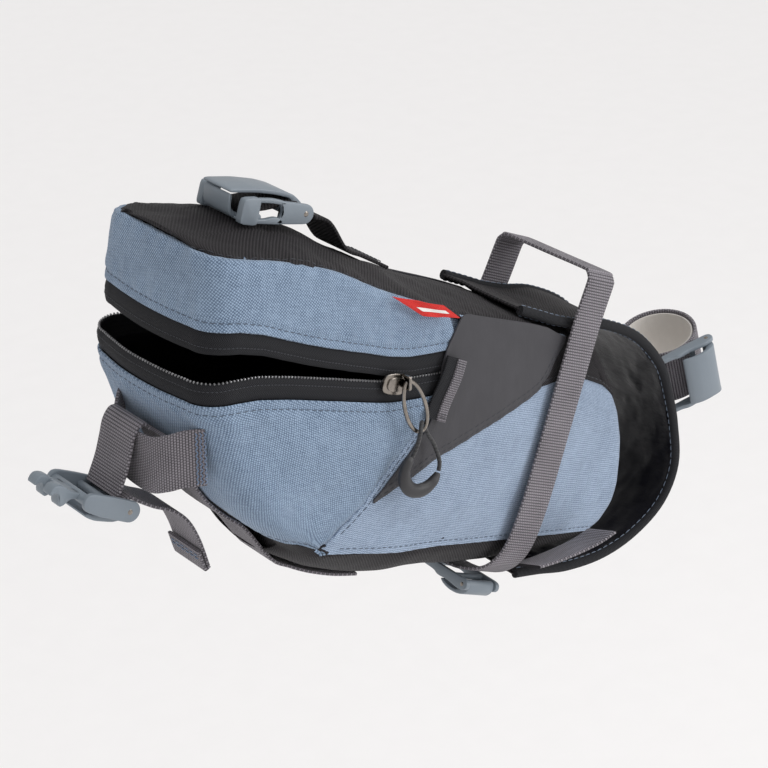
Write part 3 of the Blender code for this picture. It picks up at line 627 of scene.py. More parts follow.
class Piece:
    """A piece in the making: points in millimetres, faces, and each point's place on the cloth."""

    def __init__(self):
        self.points, self.faces, self.places = [], [], []

    def add(self, points, faces, places=None):
        first = len(self.points)
        self.points += [tuple(float(v) for v in point) for point in points]
        self.faces += [[first + i for i in face] for face in faces]
        self.places += [tuple(place) for place in places] if places is not None else [(0, 0)] * len(points)

    def loft(self, rings, places=None, loop=False):
        """Joins rings of points in a row, with flat ends unless the row is a loop."""
        count, points = len(rings[0]), [point for ring in rings for point in ring]
        faces = []
        for i in range(len(rings) if loop else len(rings) - 1):
            a, b = i * count, (i + 1) % len(rings) * count
            for k in range(count):
                m = (k + 1) % count
                faces.append((a + k, a + m, b + m, b + k))
        if not loop:
            faces.append(tuple(range(count))[::-1])
            faces.append(tuple(len(points) - count + k for k in range(count)))
        self.add(points, faces, places)

    def shell(self, grid, thick, flip=False):
        """A sheet of cloth with round edges, from its outer face.

        It returns its surface: the outer face's points and normals.
        """
        out = grid_normals(grid, flip)
        u, v = cumulative(grid, 0), cumulative(grid, 1)
        u, v = u - u[len(u) // 2], v - v[:, [v.shape[1] // 2]]
        places = np.stack([u, v], axis=2)
        columns, rows = grid.shape[:2]
        points = np.concatenate([grid.reshape(-1, 3), (grid - out * thick).reshape(-1, 3)])
        places = np.concatenate([places.reshape(-1, 2)] * 2)
        at = lambda i, j, skin=0: (skin * columns + i) * rows + j
        faces = []
        for i in range(columns - 1):
            for j in range(rows - 1):
                faces.append((at(i, j), at(i + 1, j), at(i + 1, j + 1), at(i, j + 1)))
                faces.append((at(i, j, 1), at(i, j + 1, 1), at(i + 1, j + 1, 1), at(i + 1, j, 1)))
        low = [(i, 0, i, 1) for i in range(columns)]
        top = [(i, rows - 1, i, rows - 2) for i in range(columns)]
        last = [(columns - 1, j, columns - 2, j) for j in range(rows)]
        first = [(0, j, 1, j) for j in range(rows)]
        rim = low[:-1] + last[:-1] + top[:0:-1] + first[:0:-1]
        points, places, ring = list(points), list(places), []
        for i, j, inner_i, inner_j in rim:
            away = grid[i, j] - grid[inner_i, inner_j]
            away = away / (np.linalg.norm(away) + 1e-9)
            ring.append(len(points))
            points.append(grid[i, j] - out[i, j] * thick / 2 + away * thick * 0.35)
            places.append(places[at(i, j)])
        for k, (i, j, _, _) in enumerate(rim):
            m = (k + 1) % len(rim)
            near, far = (i, j), rim[m][:2]
            faces.append((at(*near), ring[k], ring[m], at(*far)))
            faces.append((ring[k], at(*near, 1), at(*far, 1), ring[m]))
        self.add(points, [face[::-1] for face in faces] if flip else faces, places)
        return grid, out

    def sweep(self, path, across, profile, loop=False):
        """A cross-section of (across, outward) points carried along a path."""
        path = [Vector(p) for p in path]
        rings, places, run = [], [], 0.0
        wide = Vector(across).normalized()
        for i, point in enumerate(path):
            before = path[i - 1] if i or loop else point
            after = path[(i + 1) % len(path)] if i + 1 < len(path) or loop else point
            out = (after - before).normalized().cross(wide).normalized()
            run += (point - path[i - 1]).length if i else 0.0
            rings.append([point + wide * y + out * z for y, z in profile])
            places += [(run, y) for y, _ in profile]
        self.loft(rings, places, loop)

    def strap(self, path, across, width, thick, loop=False):
        """Flat webbing with round edges."""
        half, h = width / 2, thick / 2
        one = [(-half, 0), (-half + 0.25 * h, 0.7 * h), (-half + 1.1 * h, h), (-half / 2, h), (0, h)]
        one += [(-y, z) for y, z in reversed(one[:-1])]
        profile = one + [(y, -z) for y, z in reversed(one[1:-1])]
        self.sweep(path, across, profile, loop)

    def molded(self, outline, low, high, frame, edge, radius=0.9):
        """A moulded block: an outline in the frame's x and z, its corners rounded, from low to high in y."""
        outline = soften(outline, radius)
        flat = np.array(outline)
        ahead, behind = np.roll(flat, -1, axis=0), np.roll(flat, 1, axis=0)
        run = ahead - behind
        inward = np.stack([-run[:, 1], run[:, 0]], axis=1)
        inward /= np.linalg.norm(inward, axis=1, keepdims=True) + 1e-9
        if np.sum(flat[:, 0] * ahead[:, 1] - ahead[:, 0] * flat[:, 1]) < 0:
            inward = -inward
        rims = [(low, 1), (low + edge * 0.3, 0.3), (low + edge, 0)]
        rims += [(high - edge, 0), (high - edge * 0.3, 0.3), (high, 1)]
        rings = []
        for y, share in rims:
            rings.append([frame @ Vector((x, y, z)) for x, z in flat + inward * edge * share])
        self.loft(rings)

    def bar(self, frame, x, z, radius, low, high, edge=0.3):
        self.molded(arc((x, z), radius, 0, 340, 17), low, high, frame, min(edge, radius / 2), 0.0)

    def stitches(self, line, facing, length=2.1, gap=0.9, radius=0.19, lift=0.05):
        """A row of stitches along a line of points, each lying on the cloth and dipping in at its ends."""
        total, place, normal = measured(line, facing)
        start = gap / 2
        while start + length < total:
            along = (place(start + length) - place(start)).normalized()
            out = normal(start + length / 2).normalized()
            side = along.cross(out).normalized()
            rings = []
            for share, rise, size in STITCH_SHAPE:
                middle = place(start + length * share) + out * lift * rise
                rings.append(circle(middle, side * radius * size, out * radius * size, 6))
            self.loft(rings)
            start += length + gap

    def beads(self, line, facing, pitch, along_size, up_size, out_size):
        """A row of round beads, as the turns of a zip's coil."""
        total, place, normal = measured(line, facing)
        for n in range(int(total / pitch)):
            s = (n + 0.5) * pitch
            out = normal(s).normalized()
            along = (place(s + 0.2) - place(s - 0.2)).normalized()
            up = out.cross(along).normalized()
            rings = []
            for depth, size in ((-0.9, 0.5), (-0.3, 1.0), (0.5, 0.95), (1.0, 0.45)):
                middle = place(s) + out * depth * out_size
                rings.append(circle(middle, along * along_size * size, up * up_size * size, 8))
            self.loft(rings)

    def finish(self, name, look, body, slot, *nodes, sharp=40):
        """Makes the object in metres. body is a body's name, or None for cloth from bag to lid, which is left
        on no body with its transform baked.
        """
        made = bmesh.new()
        verts = [made.verts.new(Vector(point) * MM) for point in self.points]
        layer = made.loops.layers.uv.new("cloth")
        for face in self.faces:
            corners = [verts[i] for i in dict.fromkeys(face)]
            if len(corners) > 2:
                made.faces.new(corners)
        made.verts.index_update()
        for face in made.faces:
            for loop in face.loops:
                loop[layer].uv = self.places[loop.vert.index]
        bmesh.ops.triangulate(made, faces=[face for face in made.faces if len(face.verts) > 4])
        bmesh.ops.recalc_face_normals(made, faces=made.faces)
        data = bpy.data.meshes.new(name)
        made.to_mesh(data)
        made.free()
        data.shade_smooth()
        data.set_sharp_from_angle(angle=math.radians(sharp))
        data.materials.append(look)
        piece = put_in_scene(name, data)
        if nodes:
            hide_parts(*nodes)
        if body:
            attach(piece, body)
        else:
            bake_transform(piece)


def sheet(name, grid, thick, look, body, slot, *nodes, flip=False):
    """A sheet of cloth as a piece of its own. It returns its surface."""
    piece = Piece()
    surface = piece.shell(grid, thick, flip)
    piece.finish(name, look, body, slot, *nodes)
    return surface


def sew(name, look, body, slot, *rows):
    """Rows of stitches as one piece: each row is a line, its normals and the sizes of its stitches."""
    thread = Piece()
    for row in rows:
        thread.stitches(*row)
    thread.finish(name, look, body, slot)


def ribbon(name, strap, look, body, slot, *nodes):
    """A strap as a piece of its own: its path, the way across it, its width and its thickness."""
    piece = Piece()
    piece.strap(*strap)
    piece.finish(name, look, body, slot, *nodes)


def soften(outline, radius):
    """Rounds an outline's corners by cutting them twice, each time at most a radius from the corner."""
    for _ in range(2 if radius else 0):
        made = []
        for k, (x, z) in enumerate(outline):
            for other in (outline[k - 1], outline[(k + 1) % len(outline)]):
                away = math.hypot(other[0] - x, other[1] - z)
                share = min(0.3, radius / max(away, 1e-6))
                made.append((x + (other[0] - x) * share, z + (other[1] - z) * share))
        outline = made
    return outline


def arc(center, radius, start, end, steps):
    angles = np.radians(np.linspace(start, end, steps + 1))
    return [(center[0] + radius * math.cos(a), center[1] + radius * math.sin(a)) for a in angles]


def smooth_path(points, per_span, loop=False):
    """A Catmull-Rom curve through the points."""
    points = [Vector(point) for point in points]
    count = len(points)
    made = []
    for i in range(count if loop else count - 1):
        if loop:
            p = [points[(i + k) % count] for k in (-1, 0, 1, 2)]
        else:
            p = [points[min(max(i + k, 0), count - 1)] for k in (-1, 0, 1, 2)]
        for step in range(per_span):
            t = step / per_span
            made.append(
                0.5 * (2 * p[1] + (p[2] - p[0]) * t + (2 * p[0] - 5 * p[1] + 4 * p[2] - p[3]) * t**2
                       + (3 * p[1] - p[0] - 3 * p[2] + p[3]) * t**3)
            )
    return made if loop else made + [points[-1]]


def frame_at(origin, long_axis, outward):
    """A local frame: x along a buckle, z out of its face and y across it."""
    x = Vector(long_axis).normalized()
    z = Vector(outward)
    z = (z - z.dot(x) * x).normalized()
    made = Matrix((x, z.cross(x), z)).transposed().to_4x4()
    made.translation = Vector(origin)
    return made


def line_in(surface, border, distance, start=0.0, end=1.0):
    """A line on a finished sheet, at a distance in from one of its borders: its points and its normals."""
    grid, out = surface
    if border in ("first", "last"):
        grid, out = grid.transpose(1, 0, 2), out.transpose(1, 0, 2)
    if border in ("top", "last"):
        grid, out = grid[:, ::-1], out[:, ::-1]
    up = cumulative(grid, 1)
    chosen = range(int(start * (len(grid) - 1)), int(end * (len(grid) - 1)) + 1)
    line = [[np.interp(distance, up[i], grid[i, :, k]) for k in range(3)] for i in chosen]
    facing = [[np.interp(distance, up[i], out[i, :, k]) for k in range(3)] for i in chosen]
    return np.array(line), np.array(facing)


# The bag's body


def under_strap(grid):
    """1 under the rail strap's loop, falling to 0 beside it."""
    away = np.abs(grid @ np.array(RAIL_ALONG))
    return np.clip((11.5 - away) / 3, 0, 1)


def calm(grid, relief):
    """Keeps a relief from rising through the strap that lies over it."""
    held = under_strap(grid)
    return np.where(relief > 0, relief * (1 - 0.85 * held), relief)


def base_seam(c):
    """How far up the wall the base cloth comes: most at the rear."""
    return float(np.interp(c, [0, 1.8, 2.25, 3.4, 4], [0.05, 0.05, 0.006, 0.006, 0.03]))


TUB_TOP = level_line(lambda x: lower_teeth_z(x) - TAPE - TEETH)


def rear_turns(last, count):
    """Columns from the middle of the rear to a last one on the flank, which has count of them."""
    corner = list(np.linspace(0, 1, 16)) + list(np.linspace(1, 2, 15)[1:])
    return corner + list(np.linspace(2, last, count)[1:])


def rear_column(w, t):
    return w if w <= 2 else 2 + (w - 2) * (seam_column(t) - 2)


def wrinkles(grid):
    return field(grid, (34, 1.1), (13, 0.42), (6, 0.14))


def build_rear_panel():
    turns = rear_turns(3, 52)
    columns = []
    for side, ws in ((FAR, turns[:0:-1]), (NEAR, turns)):
        for w in ws:
            top = 0.6
            for _ in range(5):
                top = TUB_TOP(rear_column(w, top))
            columns.append([wall(side, rear_column(w, t), t) for t in np.linspace(base_seam(w), top, 46)])
    grid = np.array(columns)
    calmer = 1 - 0.75 * np.exp(-(((cumulative(grid, 1)[:, -1:] - cumulative(grid, 1)) / 5) ** 2))
    relief = wrinkles(grid) * calmer + seam_relief(grid, ("first", "last"), flat=("top", "low")) + 0.4
    relief += crease(grid, (-176, -36, -20), (-158, -37, -52), 6, 1.2)
    relief += crease(grid, (-150, -38, -30), (-128, -36, -62), 5, -0.9)
    relief += crease(grid, (-165, -37, 0), (-140, -37, -32), 7, 0.8)
    relief += crease(grid, (-192, -8, -34), (-178, 14, -52), 6, 0.9)
    grid = raised(grid, relief)
    surface = sheet("rear_side_panel", grid, 1.2, BLUE_REAR, "bag", "blue_fabric", "main_body")
    rows = line_in(surface, "top", 3.0), line_in(surface, "low", 2.6, 0.04, 0.96)
    sew("rear_panel_stitches", STEEL_THREAD, "bag", "blue_fabric", *rows)


def build_front_panels():
    for side, name in SIDES:
        columns = []
        straight = [("flat", s) for s in np.linspace(0, 1, 60)]
        corner = [("round", s) for s in np.linspace(0, 1, 9)[1:]]
        for kind, s in straight + corner:
            column = []
            for t in np.linspace(0.006, 0.995, 56):
                edge = seam_column(t)
                column.append(wall(side, edge + s * (3 - edge) if kind == "flat" else 3 + 0.74 * s, t))
            columns.append(column)
        grid = np.array(columns if side == NEAR else columns[::-1])
        seam = "first" if side == NEAR else "last"
        relief = 0.75 * wrinkles(grid) + seam_relief(grid, (seam,), 0.5, 0.15, flat=("low",)) + 0.3
        relief += crease(grid, (-128, side * 34, -66), (-96, side * 34, -84), 5, 1.1)
        relief += crease(grid, (-112, side * 34, -60), (-84, side * 33, -80), 4, -0.8)
        relief += crease(grid, (-60, side * 30, -62), (-30, side * 27, -98), 6, -0.7)
        above_zip = grid[..., 2] - np.interp(grid[..., 0], [-112, -84, -60], [-14, -19, -16])
        tucked = np.clip(above_zip / 3, 0, 1) * np.clip((-70 - grid[..., 0]) / 4, 0, 1)
        relief = calm(grid, relief) - 2.6 * tucked
        grid = raised(grid, relief)
        surface = sheet(f"front_side_panel_{name}", grid, 1.2, BLUE_FRONT_PAINTED_LIT, "bag", "blue_fabric")
        rows = [(*line_in(surface, seam, 1.7, 0.08, 0.62), 2.3, 0.7, 0.2)]
        rows.append(line_in(surface, "low", 2.6, 0.05, 0.95))
        sew(f"front_panel_stitches_{name}", STEEL_THREAD, "bag", "blue_fabric", *rows)


def build_gusset():
    columns = [(NEAR, c) for c in np.linspace(3.68, 5, 18)] + [(FAR, c) for c in np.linspace(5, 3.68, 18)[1:]]
    grid = np.array([[wall(side, c, t) for t in np.linspace(0, 0.995, 40)] for side, c in columns])
    relief = 0.7 * wrinkles(grid) + seam_relief(grid, ("first", "last"))
    grid = raised(grid, relief - 0.35)
    sheet("nose_panel", grid, 1.3, BLACK_CROSS, "bag", "black_ribbed_nylon", "nose_gusset")


def cap_low(x):
    return ease(x, [-42, -33, -15, 5, 13, 20], [-30, -34, -36.5, -43.5, -52, -60], 2)


def build_nose_caps():
    low = level_line(cap_low)
    for side, name in SIDES:
        columns = [(side, c) for c in np.linspace(2.70, 3.72, 50)]
        grid = strip(columns if side == NEAR else columns[::-1], low, lambda c: 0.996, 22)
        relief = 0.75 * wrinkles(grid) + seam_relief(grid, ("top",), 0.6, 0.2, flat=("low",)) + 0.95
        grid = raised(grid, calm(grid, relief))
        surface = sheet(f"nose_cap_{name}", grid, 1.0, BLACK_CROSS, "bag", "black_ribbed_nylon")
        row = line_in(surface, "low", 2.4)
        sew(f"nose_cap_stitches_{name}", DARK_THREAD, "bag", "black_ribbed_nylon", row)


def belly(x):
    places = [-158, -150, -138, -124, -100, -50, 0, 14]
    return -17.0 * ease(x, places, [0.34, 0.5, 0.8, 0.97, 1.0, 0.9, 0.5, 0.1], 5)


def crown(x):
    places = [-178, -160, -130, -100, -86, -60, -10]
    return 8.0 * ease(x, places, [0.25, 0.85, 1.0, 0.65, 0.4, 0.35, 0.1], 7)


def pan(level, rise, columns, rows, drop, power=2.0):
    """A crowned panel across the bag at one level, from the near side to the far one."""
    made = []
    for c in columns:
        edge = wall(NEAR, c, level)
        made.append([
            (edge[0], share * abs(edge[1]), edge[2] + drop + rise(edge[0]) * (1 - abs(share) ** power))
            for share in np.linspace(-1, 1, rows)
        ])
    return np.array(made)


def build_base():
    columns = np.concatenate([np.linspace(1, 2, 14), np.linspace(2, 3, 90)[1:], np.linspace(3, 4, 8)[1:]])
    flanks = [
        np.array([[wall(side, c, base_seam(c) * share) for share in (1.15, 0.75, 0.4)] for c in columns])
        for side in (NEAR, FAR)
    ]
    grid = np.concatenate([flanks[0], pan(0.0, belly, columns, 44, -0.35, 3.0), flanks[1][:, ::-1]], axis=1)
    from_edge = np.minimum(cumulative(grid, 1), cumulative(grid, 1)[:, -1:] - cumulative(grid, 1))
    relief = 0.9 * field(grid, (30, 1.2), (11, 0.4)) * np.clip(from_edge / 9, 0, 1)
    relief -= 1.5 * np.exp(-((from_edge / 2.2) ** 2))
    grid = raised(grid, relief, flip=True)
    piece = Piece()
    piece.shell(grid, 1.4, flip=True)
    rear = [(FAR, c) for c in np.linspace(1.3, 0, 18)] + [(NEAR, c) for c in np.linspace(0, 1.3, 18)[1:]]
    below = strip(rear, lambda c: -0.064 * max(0, 1 - c**3), lambda c: 0.062, 12, -0.5)
    piece.shell(below, 1.2)
    piece.finish("base_cloth", BLACK, "bag", "black_ribbed_nylon", "base_panel")
    board = pan(0.0, lambda x: belly(x) * 0.9, np.linspace(1.4, 2.95, 40), 20, 3.6)
    sheet("stiffener", board, 1.2, LINING, "bag", "stiffener_board", "base_stiffener", flip=True)


def build_lining():
    columns = [(FAR, c) for c in np.linspace(4.4, 0, 90)] + [(NEAR, c) for c in np.linspace(0, 4.4, 90)[1:]]
    rows = []
    for side, c in columns:
        top = TUB_TOP(c) + 0.005 if c < ZIP_END_C else 0.93
        rows.append([wall(side, c, t) for t in np.linspace(0.08, top, 34)])
    grid = np.array(rows)
    relief = field(grid, (16, 1.6), (7, 0.7), (3.5, 0.25)) - 3.2
    for c in (60, 80, 99, 119):
        relief[c] -= 1.2
    grid = raised(grid, relief)
    sheet("tub_lining", grid, 0.6, LINING, "bag", "lining", "body_lining")


# The lid


def build_top():
    columns = np.concatenate([np.linspace(1, 2, 18), np.linspace(2, 3, 120)[1:], np.linspace(3, 4, 8)[1:]])
    grid = pan(1.0, crown, columns, 52, 0.6)
    grid[..., 1] *= 0.965
    grid[..., 0] += 2.6 * np.clip((-160 - grid[..., 0]) / 20, 0, 1)
    relief = field(grid, (26, 1.7), (11, 0.6), (5, 0.2)) + seam_relief(grid, ("low", "top"), 0.9, 0.35)
    relief += crease(grid, (-140, -30, 48), (-118, -12, 44), 8, -1.5)
    relief += crease(grid, (-110, -28, 32), (-98, 10, 30), 7, 1.0)
    relief += crease(grid, (-168, -24, 56), (-150, 0, 60), 9, 0.9)
    relief = np.where(np.abs(grid[..., 1]) < 12, np.minimum(relief, 0.5), relief)
    grid = raised(grid, relief)
    nodes = "lid_top_panel", "front_top_panel"
    surface = sheet("top_cloth", grid, 1.5, BLACK, None, "black_ribbed_nylon", *nodes)
    rows = [(*line_in(surface, border, 2.2, 0.0, 0.62), 2.4) for border in ("low", "top")]
    sew("top_stitches", DARK_THREAD, None, "black_ribbed_nylon", *rows)


def round_rear(last, count):
    """Columns of the wall from the far side round the rear to the near side, evenly spaced."""
    turns = rear_turns(last, count)
    return [(FAR, c) for c in turns[:0:-1]] + [(NEAR, c) for c in turns]


def strip(columns, low, high, rows, out=0.0):
    """A grid on the wall between two levels, each a function of the column, moved out by a distance."""
    grid = np.array([[wall(side, c, t) for t in np.linspace(low(c), high(c), rows)] for side, c in columns])
    return raised(grid, out)


def build_lid():
    bottom = level_line(lambda x: upper_teeth_z(x) + TEETH + TAPE - 0.3)
    grid = strip(round_rear(2.545, 66), bottom, lambda c: 1.0, 30)
    calmer = 1 - 0.75 * np.exp(-((cumulative(grid, 1) / 5) ** 2))
    relief = 0.9 * wrinkles(grid) * calmer + seam_relief(grid, ("top",), 0.9, 0.3, flat=("low",)) + 0.25
    relief += crease(grid, (-150, -37, 44), (-138, -37, 18), 6, 0.7)
    relief += crease(grid, (-132, -36, 36), (-112, -35, 12), 5, -0.7)
    relief += crease(grid, (-110, -35, 24), (-94, -34, 6), 5, 0.6)
    grid = raised(grid, relief)
    last, middle = grid[:, -1], np.array((-140.0, 0.0, 0.0))
    inward = middle - last
    inward[:, 2] = 0
    inward[:, 0] *= np.where(last[:, 0] > -172, 0, 1)
    inward /= np.linalg.norm(inward, axis=1, keepdims=True)
    steps = (0.5, 0.55), (1.4, 0.8), (2.8, 0.4)
    hem = [last + inward * away + np.array((0, 0, rise)) for away, rise in steps]
    grid = np.concatenate([grid] + [row[:, None] for row in hem], axis=1)
    surface = sheet("lid_side_band", grid, 1.2, BLUE_LID, None, "blue_fabric", "lid_band")
    sew("lid_band_stitches", STEEL_THREAD, None, "blue_fabric", line_in(surface, "low", 3.0))
    low = level_line(lambda x: upper_teeth_z(x) + TEETH + TAPE + 1)
    grid = strip(round_rear(2.42, 40), low, lambda c: 0.985, 12, -2.2)
    grid = raised(grid, field(grid, (12, 0.7), (5, 0.3)))
    sheet("lid_inside", grid, 0.6, LINING, None, "lining", "lid_lining")


def build_zip():
    for name, teeth, up, body in (("lower", lower_teeth_z, -1, "bag"), ("upper", upper_teeth_z, 1, None)):
        near = level_line(lambda x: teeth(x) + up * (TEETH * 0.6))
        far = level_line(lambda x: teeth(x) + up * (TEETH + TAPE + 1.6))
        low, high = (near, far) if up > 0 else (far, near)
        grid = strip(round_rear(2.52, 70), low, high, 13)
        from_teeth = np.linspace(0, 1, 13) if up > 0 else np.linspace(1, 0, 13)
        lies = np.interp(from_teeth, [0, 0.12, 0.45, 0.75, 0.88, 1], [-0.9, -0.3, 0.05, -0.55, -1.6, -2.0])
        relief = 0.25 * field(grid, (14, 1.0), (5, 0.4)) * (1 - from_teeth)[None, :] + lies[None, :]
        grid = raised(grid, relief)
        surface = sheet(f"zip_{name}_tape", grid, 0.9, TAPE_LOOK, body, "zip_tape", f"zip_tape_{name}")
        coil = Piece()
        border = "low" if up > 0 else "top"
        line, facing = line_in(surface, border, 0.0)
        inward = 0.2 if up < 0 else 1.3
        line = line - facing * inward + np.array((0, 0, -up * 0.25))
        coil.beads(line, facing, 1.45, 0.4, 0.55, 0.55)
        coil.finish(f"zip_{name}_coil", TEETH_LOOK, body, "zip_teeth", f"zip_teeth_{name}")
        row = (*line_in(surface, border, 2.6), 1.1, 0.4, 0.16, 0.1)
        sew(f"zip_{name}_thread", DARK_THREAD, body, "zip_tape", row)


def build_label():
    corners = [(-112.5, 29.4), (-98.5, 18), (-80.5, 12.2), (-88, 19)]
    a, b, c, d = (np.array((x, -37.2, z)) for x, z in corners)
    columns = []
    for s in np.linspace(0, 1, 26):
        low, high = b + (c - b) * s, a + (d - a) * s
        column = []
        for t in np.linspace(0, 1, 14):
            point = low + (high - low) * t
            swell = 0.5 * math.sin(3.0 * s + 0.6) + 0.25 * math.sin(9 * s + 2 * t)
            column.append(point + np.array((0, -swell, 0)))
        columns.append(column)
    surface = sheet("label", np.array(columns), 0.55, RED, None, "red_label", "label_tag")
    band = surface[0][5:22, 4:8] + surface[1][5:22, 4:8] * 0.12
    sheet("label_band", band, 0.16, WHITE_THREAD, None, "red_label")


# The side wings and the zip's end tabs


def wing_edges(x):
    low = ease(x, [-120, -88, -57, -32, -24, -15], [-51, -43, -39, -35.5, -29, -20], 3)
    high = ease(x, [-120, -93, -86, -75, -34, -15], [-50, -27, -2, 10.5, -5.5, -19.3], 3)
    return low, high


def build_wings():
    for side, name in SIDES:
        columns = []
        for x in np.linspace(-120, -15.5, 80):
            low, high = wing_edges(x)
            high = min(high, top_z(x) + 0.9)
            columns.append([beside(side, x, z, 0) for z in np.linspace(low, max(high, low + 0.8), 34)])
        grid = np.array(columns if side == NEAR else columns[::-1])
        relief = calm(grid, 0.75 * wrinkles(grid)) + 1.15
        relief = relief + seam_relief(grid, ("low",), 0.25, 0.12)
        grid = raised(grid, relief)
        surface = sheet(f"wing_{name}", grid, 0.7, LAMINATE, "bag", "dark_grey_laminate", f"side_wing_{name}")
        rows = [(*line_in(surface, "low", away, 0.02, 0.97), 2.2, 0.8, 0.17) for away in (1.3, 3.6)]
        sew(f"wing_stitches_{name}", DARK_THREAD, "bag", "dark_grey_laminate", *rows)
        build_end_tab(side, name)


def build_end_tab(side, name):
    start, end = (Vector(beside(side, x, z, 2.9)) for x, z in ((-81, -4), (-92.5, -25)))
    path = [start.lerp(end, k / 12) for k in range(13)]
    path = [p + Vector((0, side * 0.5 * math.sin(k * 0.5), 0)) for k, p in enumerate(path)]
    wide, out = Vector((0.88, 0, -0.47)), Vector((0, side, 0))
    patch = [p - wide for p in path]
    ribbon(f"end_tab_cloth_{name}", (patch, wide, 8.4, 1.0), TAPE_LOOK, "bag", "zip_tape")
    tab = [p + wide * 2.2 + out * 0.7 for p in path]
    node = f"zip_end_tab_{name}"
    ribbon(f"end_tab_{name}", (tab, wide, 4.6, 1.3), GREY_WEB_FINE, "bag", "grey_webbing", node)
    rows = []
    for share in (0.06, 0.93, 0.11, 0.88):
        middle = start.lerp(end, share) + out * 1.5
        rows.append(([middle + wide * reach for reach in (0.2, 4.2)], [out, out], 1.3, 0.4, 0.16))
    sew(f"end_tab_stitches_{name}", DARK_THREAD, "bag", "grey_webbing", *rows)


# The hood over the nose


def hood_path(per_span):
    """The hood's middle line: it leaves the top cloth, goes round the nose and comes back under the base."""
    line = [(-38, -1.6), (-28, -6.6), (-18, -11.6), (-6, -16.2), (8, -20.5), (26, -31), (40, -47)]
    line += [(46.6, -64), (50.4, -78.5), (52.2, -97), (45, -112), (30, -121.5), (12, -125.5)]
    line += [(-8, -124.2), (-24, -120), (-37, -117)]
    return smooth_path([(x, 0, z) for x, z in line], per_span)


def build_hood():
    path = np.array([tuple(p) for p in hood_path(9)])
    across = np.linspace(-22.2, 22.2, 34)
    grid = np.array([[p + np.array((0, y, 0)) for y in across] for p in path])
    sag = field(grid, (24, 0.8), (9, 0.3))
    grid = raised(grid, sag + 0.7)
    sheet("hood", grid, 1.3, BLACK, "bag", "black_ribbed_nylon", "nose_hood")
    inner = path[10:-10]
    grid = np.array([[p + np.array((0, y, 0)) for y in np.linspace(-21.2, 21.2, 54)] for p in inner])
    folds = field(grid, (9, 0.75), (5, 0.4), (2.6, 0.15))
    grid = raised(grid, np.minimum(folds, 0.25) - 1.5)
    sheet("hood_inside", grid, 0.5, LINING, "bag", "lining", "hood_lining")
    path = hood_path(6)
    crossed = np.array([[tuple(p), tuple(p + ACROSS)] for p in path])
    out = grid_normals(crossed)[:, 0]
    for side, name in SIDES:
        edge = [p + Vector((0, side * 22.6, 0)) for p in path]
        binding = Piece()
        binding.sweep(edge, ACROSS, oval(1.75, 2.0))
        binding.finish(f"hood_edge_{name}", TAPE_LOOK, "bag", "black_ribbed_nylon", f"hood_binding_{name}")
        rows = []
        for facing in (out, -out):
            line = np.array([tuple(p) for p in edge]) + facing * 2.05 + np.array((0, -side * 0.5, 0))
            rows.append((line, facing, 2.4, 0.9, 0.16, 0.06))
        sew(f"hood_edge_stitches_{name}", SLATE_THREAD, "bag", "black_ribbed_nylon", *rows)


# Straps


def bartack(piece, center, along, across, out, width, pitch):
    """Three rows of zigzag stitches that cross a strap."""
    center, along, across, out = (Vector(v) for v in (center, along, across, out))
    count = int(width / 1.1)
    for row in (-1, 0, 1):
        line = []
        for k in range(count + 1):
            zig = 0.45 if k % 2 else -0.45
            line.append(center + across * (k / count - 0.5) * width + along * (row * pitch + zig))
        for a, b in zip(line, line[1:]):
            piece.stitches([a, b], [out, out], (b - a).length * 0.96, 0.01, 0.2, 0.1)


def build_rail_strap():
    down, along = Vector(RAIL_DOWN), Vector(RAIL_ALONG)
    half = RAIL_SPACING / 2
    over = RAIL_RADIUS + 0.35 + WEB / 2
    turns = np.radians([0, 30, 60, 90])
    profile = [(0, -over)] + [(half + over * math.sin(a), -over * math.cos(a)) for a in turns]
    profile += [(27.0, 14), (28.2, 30), (29.4, 50), (30.4, 70), (31.5, 92), (31, 106), (28, 115)]
    profile += [(21.5, 121.5), (11, 125.4)]
    ring = [(-y, d) for y, d in reversed(profile[1:])] + profile + [(0, RAIL_LOOP_DEPTH)]
    path = smooth_path([Vector((0, y, 0)) + down * d for y, d in ring], 6, loop=True)
    path = [p + along * 0.5 * math.sin(p.z / 17) for p in path]
    ribbon("rail_loop", (path, along, RAIL_WEB, WEB, True), GREY_WEB, "bag", "grey_webbing", "rail_strap")
    end = [(-39, -31.5, -108.8), (-30, -32.5, -109), (-19, -33.5, -108.4), (-9, -34.5, -107)]
    end.append((-1.8, -35.5, -104.4))
    path = smooth_path(end, 9)
    across = Vector((-0.13, 0.93, -0.27)).normalized()
    tail = Piece()
    tail.strap(path, across, RAIL_WEB, 1.3)
    tip, run = path[-1], (path[-1] - path[-2]).normalized()
    out = run.cross(across).normalized()
    for k in range(30):
        place = tip + across * (k / 29 - 0.5) * 14.4
        drift = Vector((noise.noise(Vector((k * 0.7, 3, 1))), noise.noise(Vector((k * 0.9, 7, 2))), 0)) * 0.9
        reach = 1.2 + 1.6 * abs(noise.noise(Vector((k * 1.7, 1, 9))))
        tail.stitches([place - run, place + run * reach + drift], [out, out], reach + 0.4, 0.01, 0.16, 0.05)
    tail.finish("rail_loop_tail", GREY_WEB, "bag", "grey_webbing", "rail_strap_end")


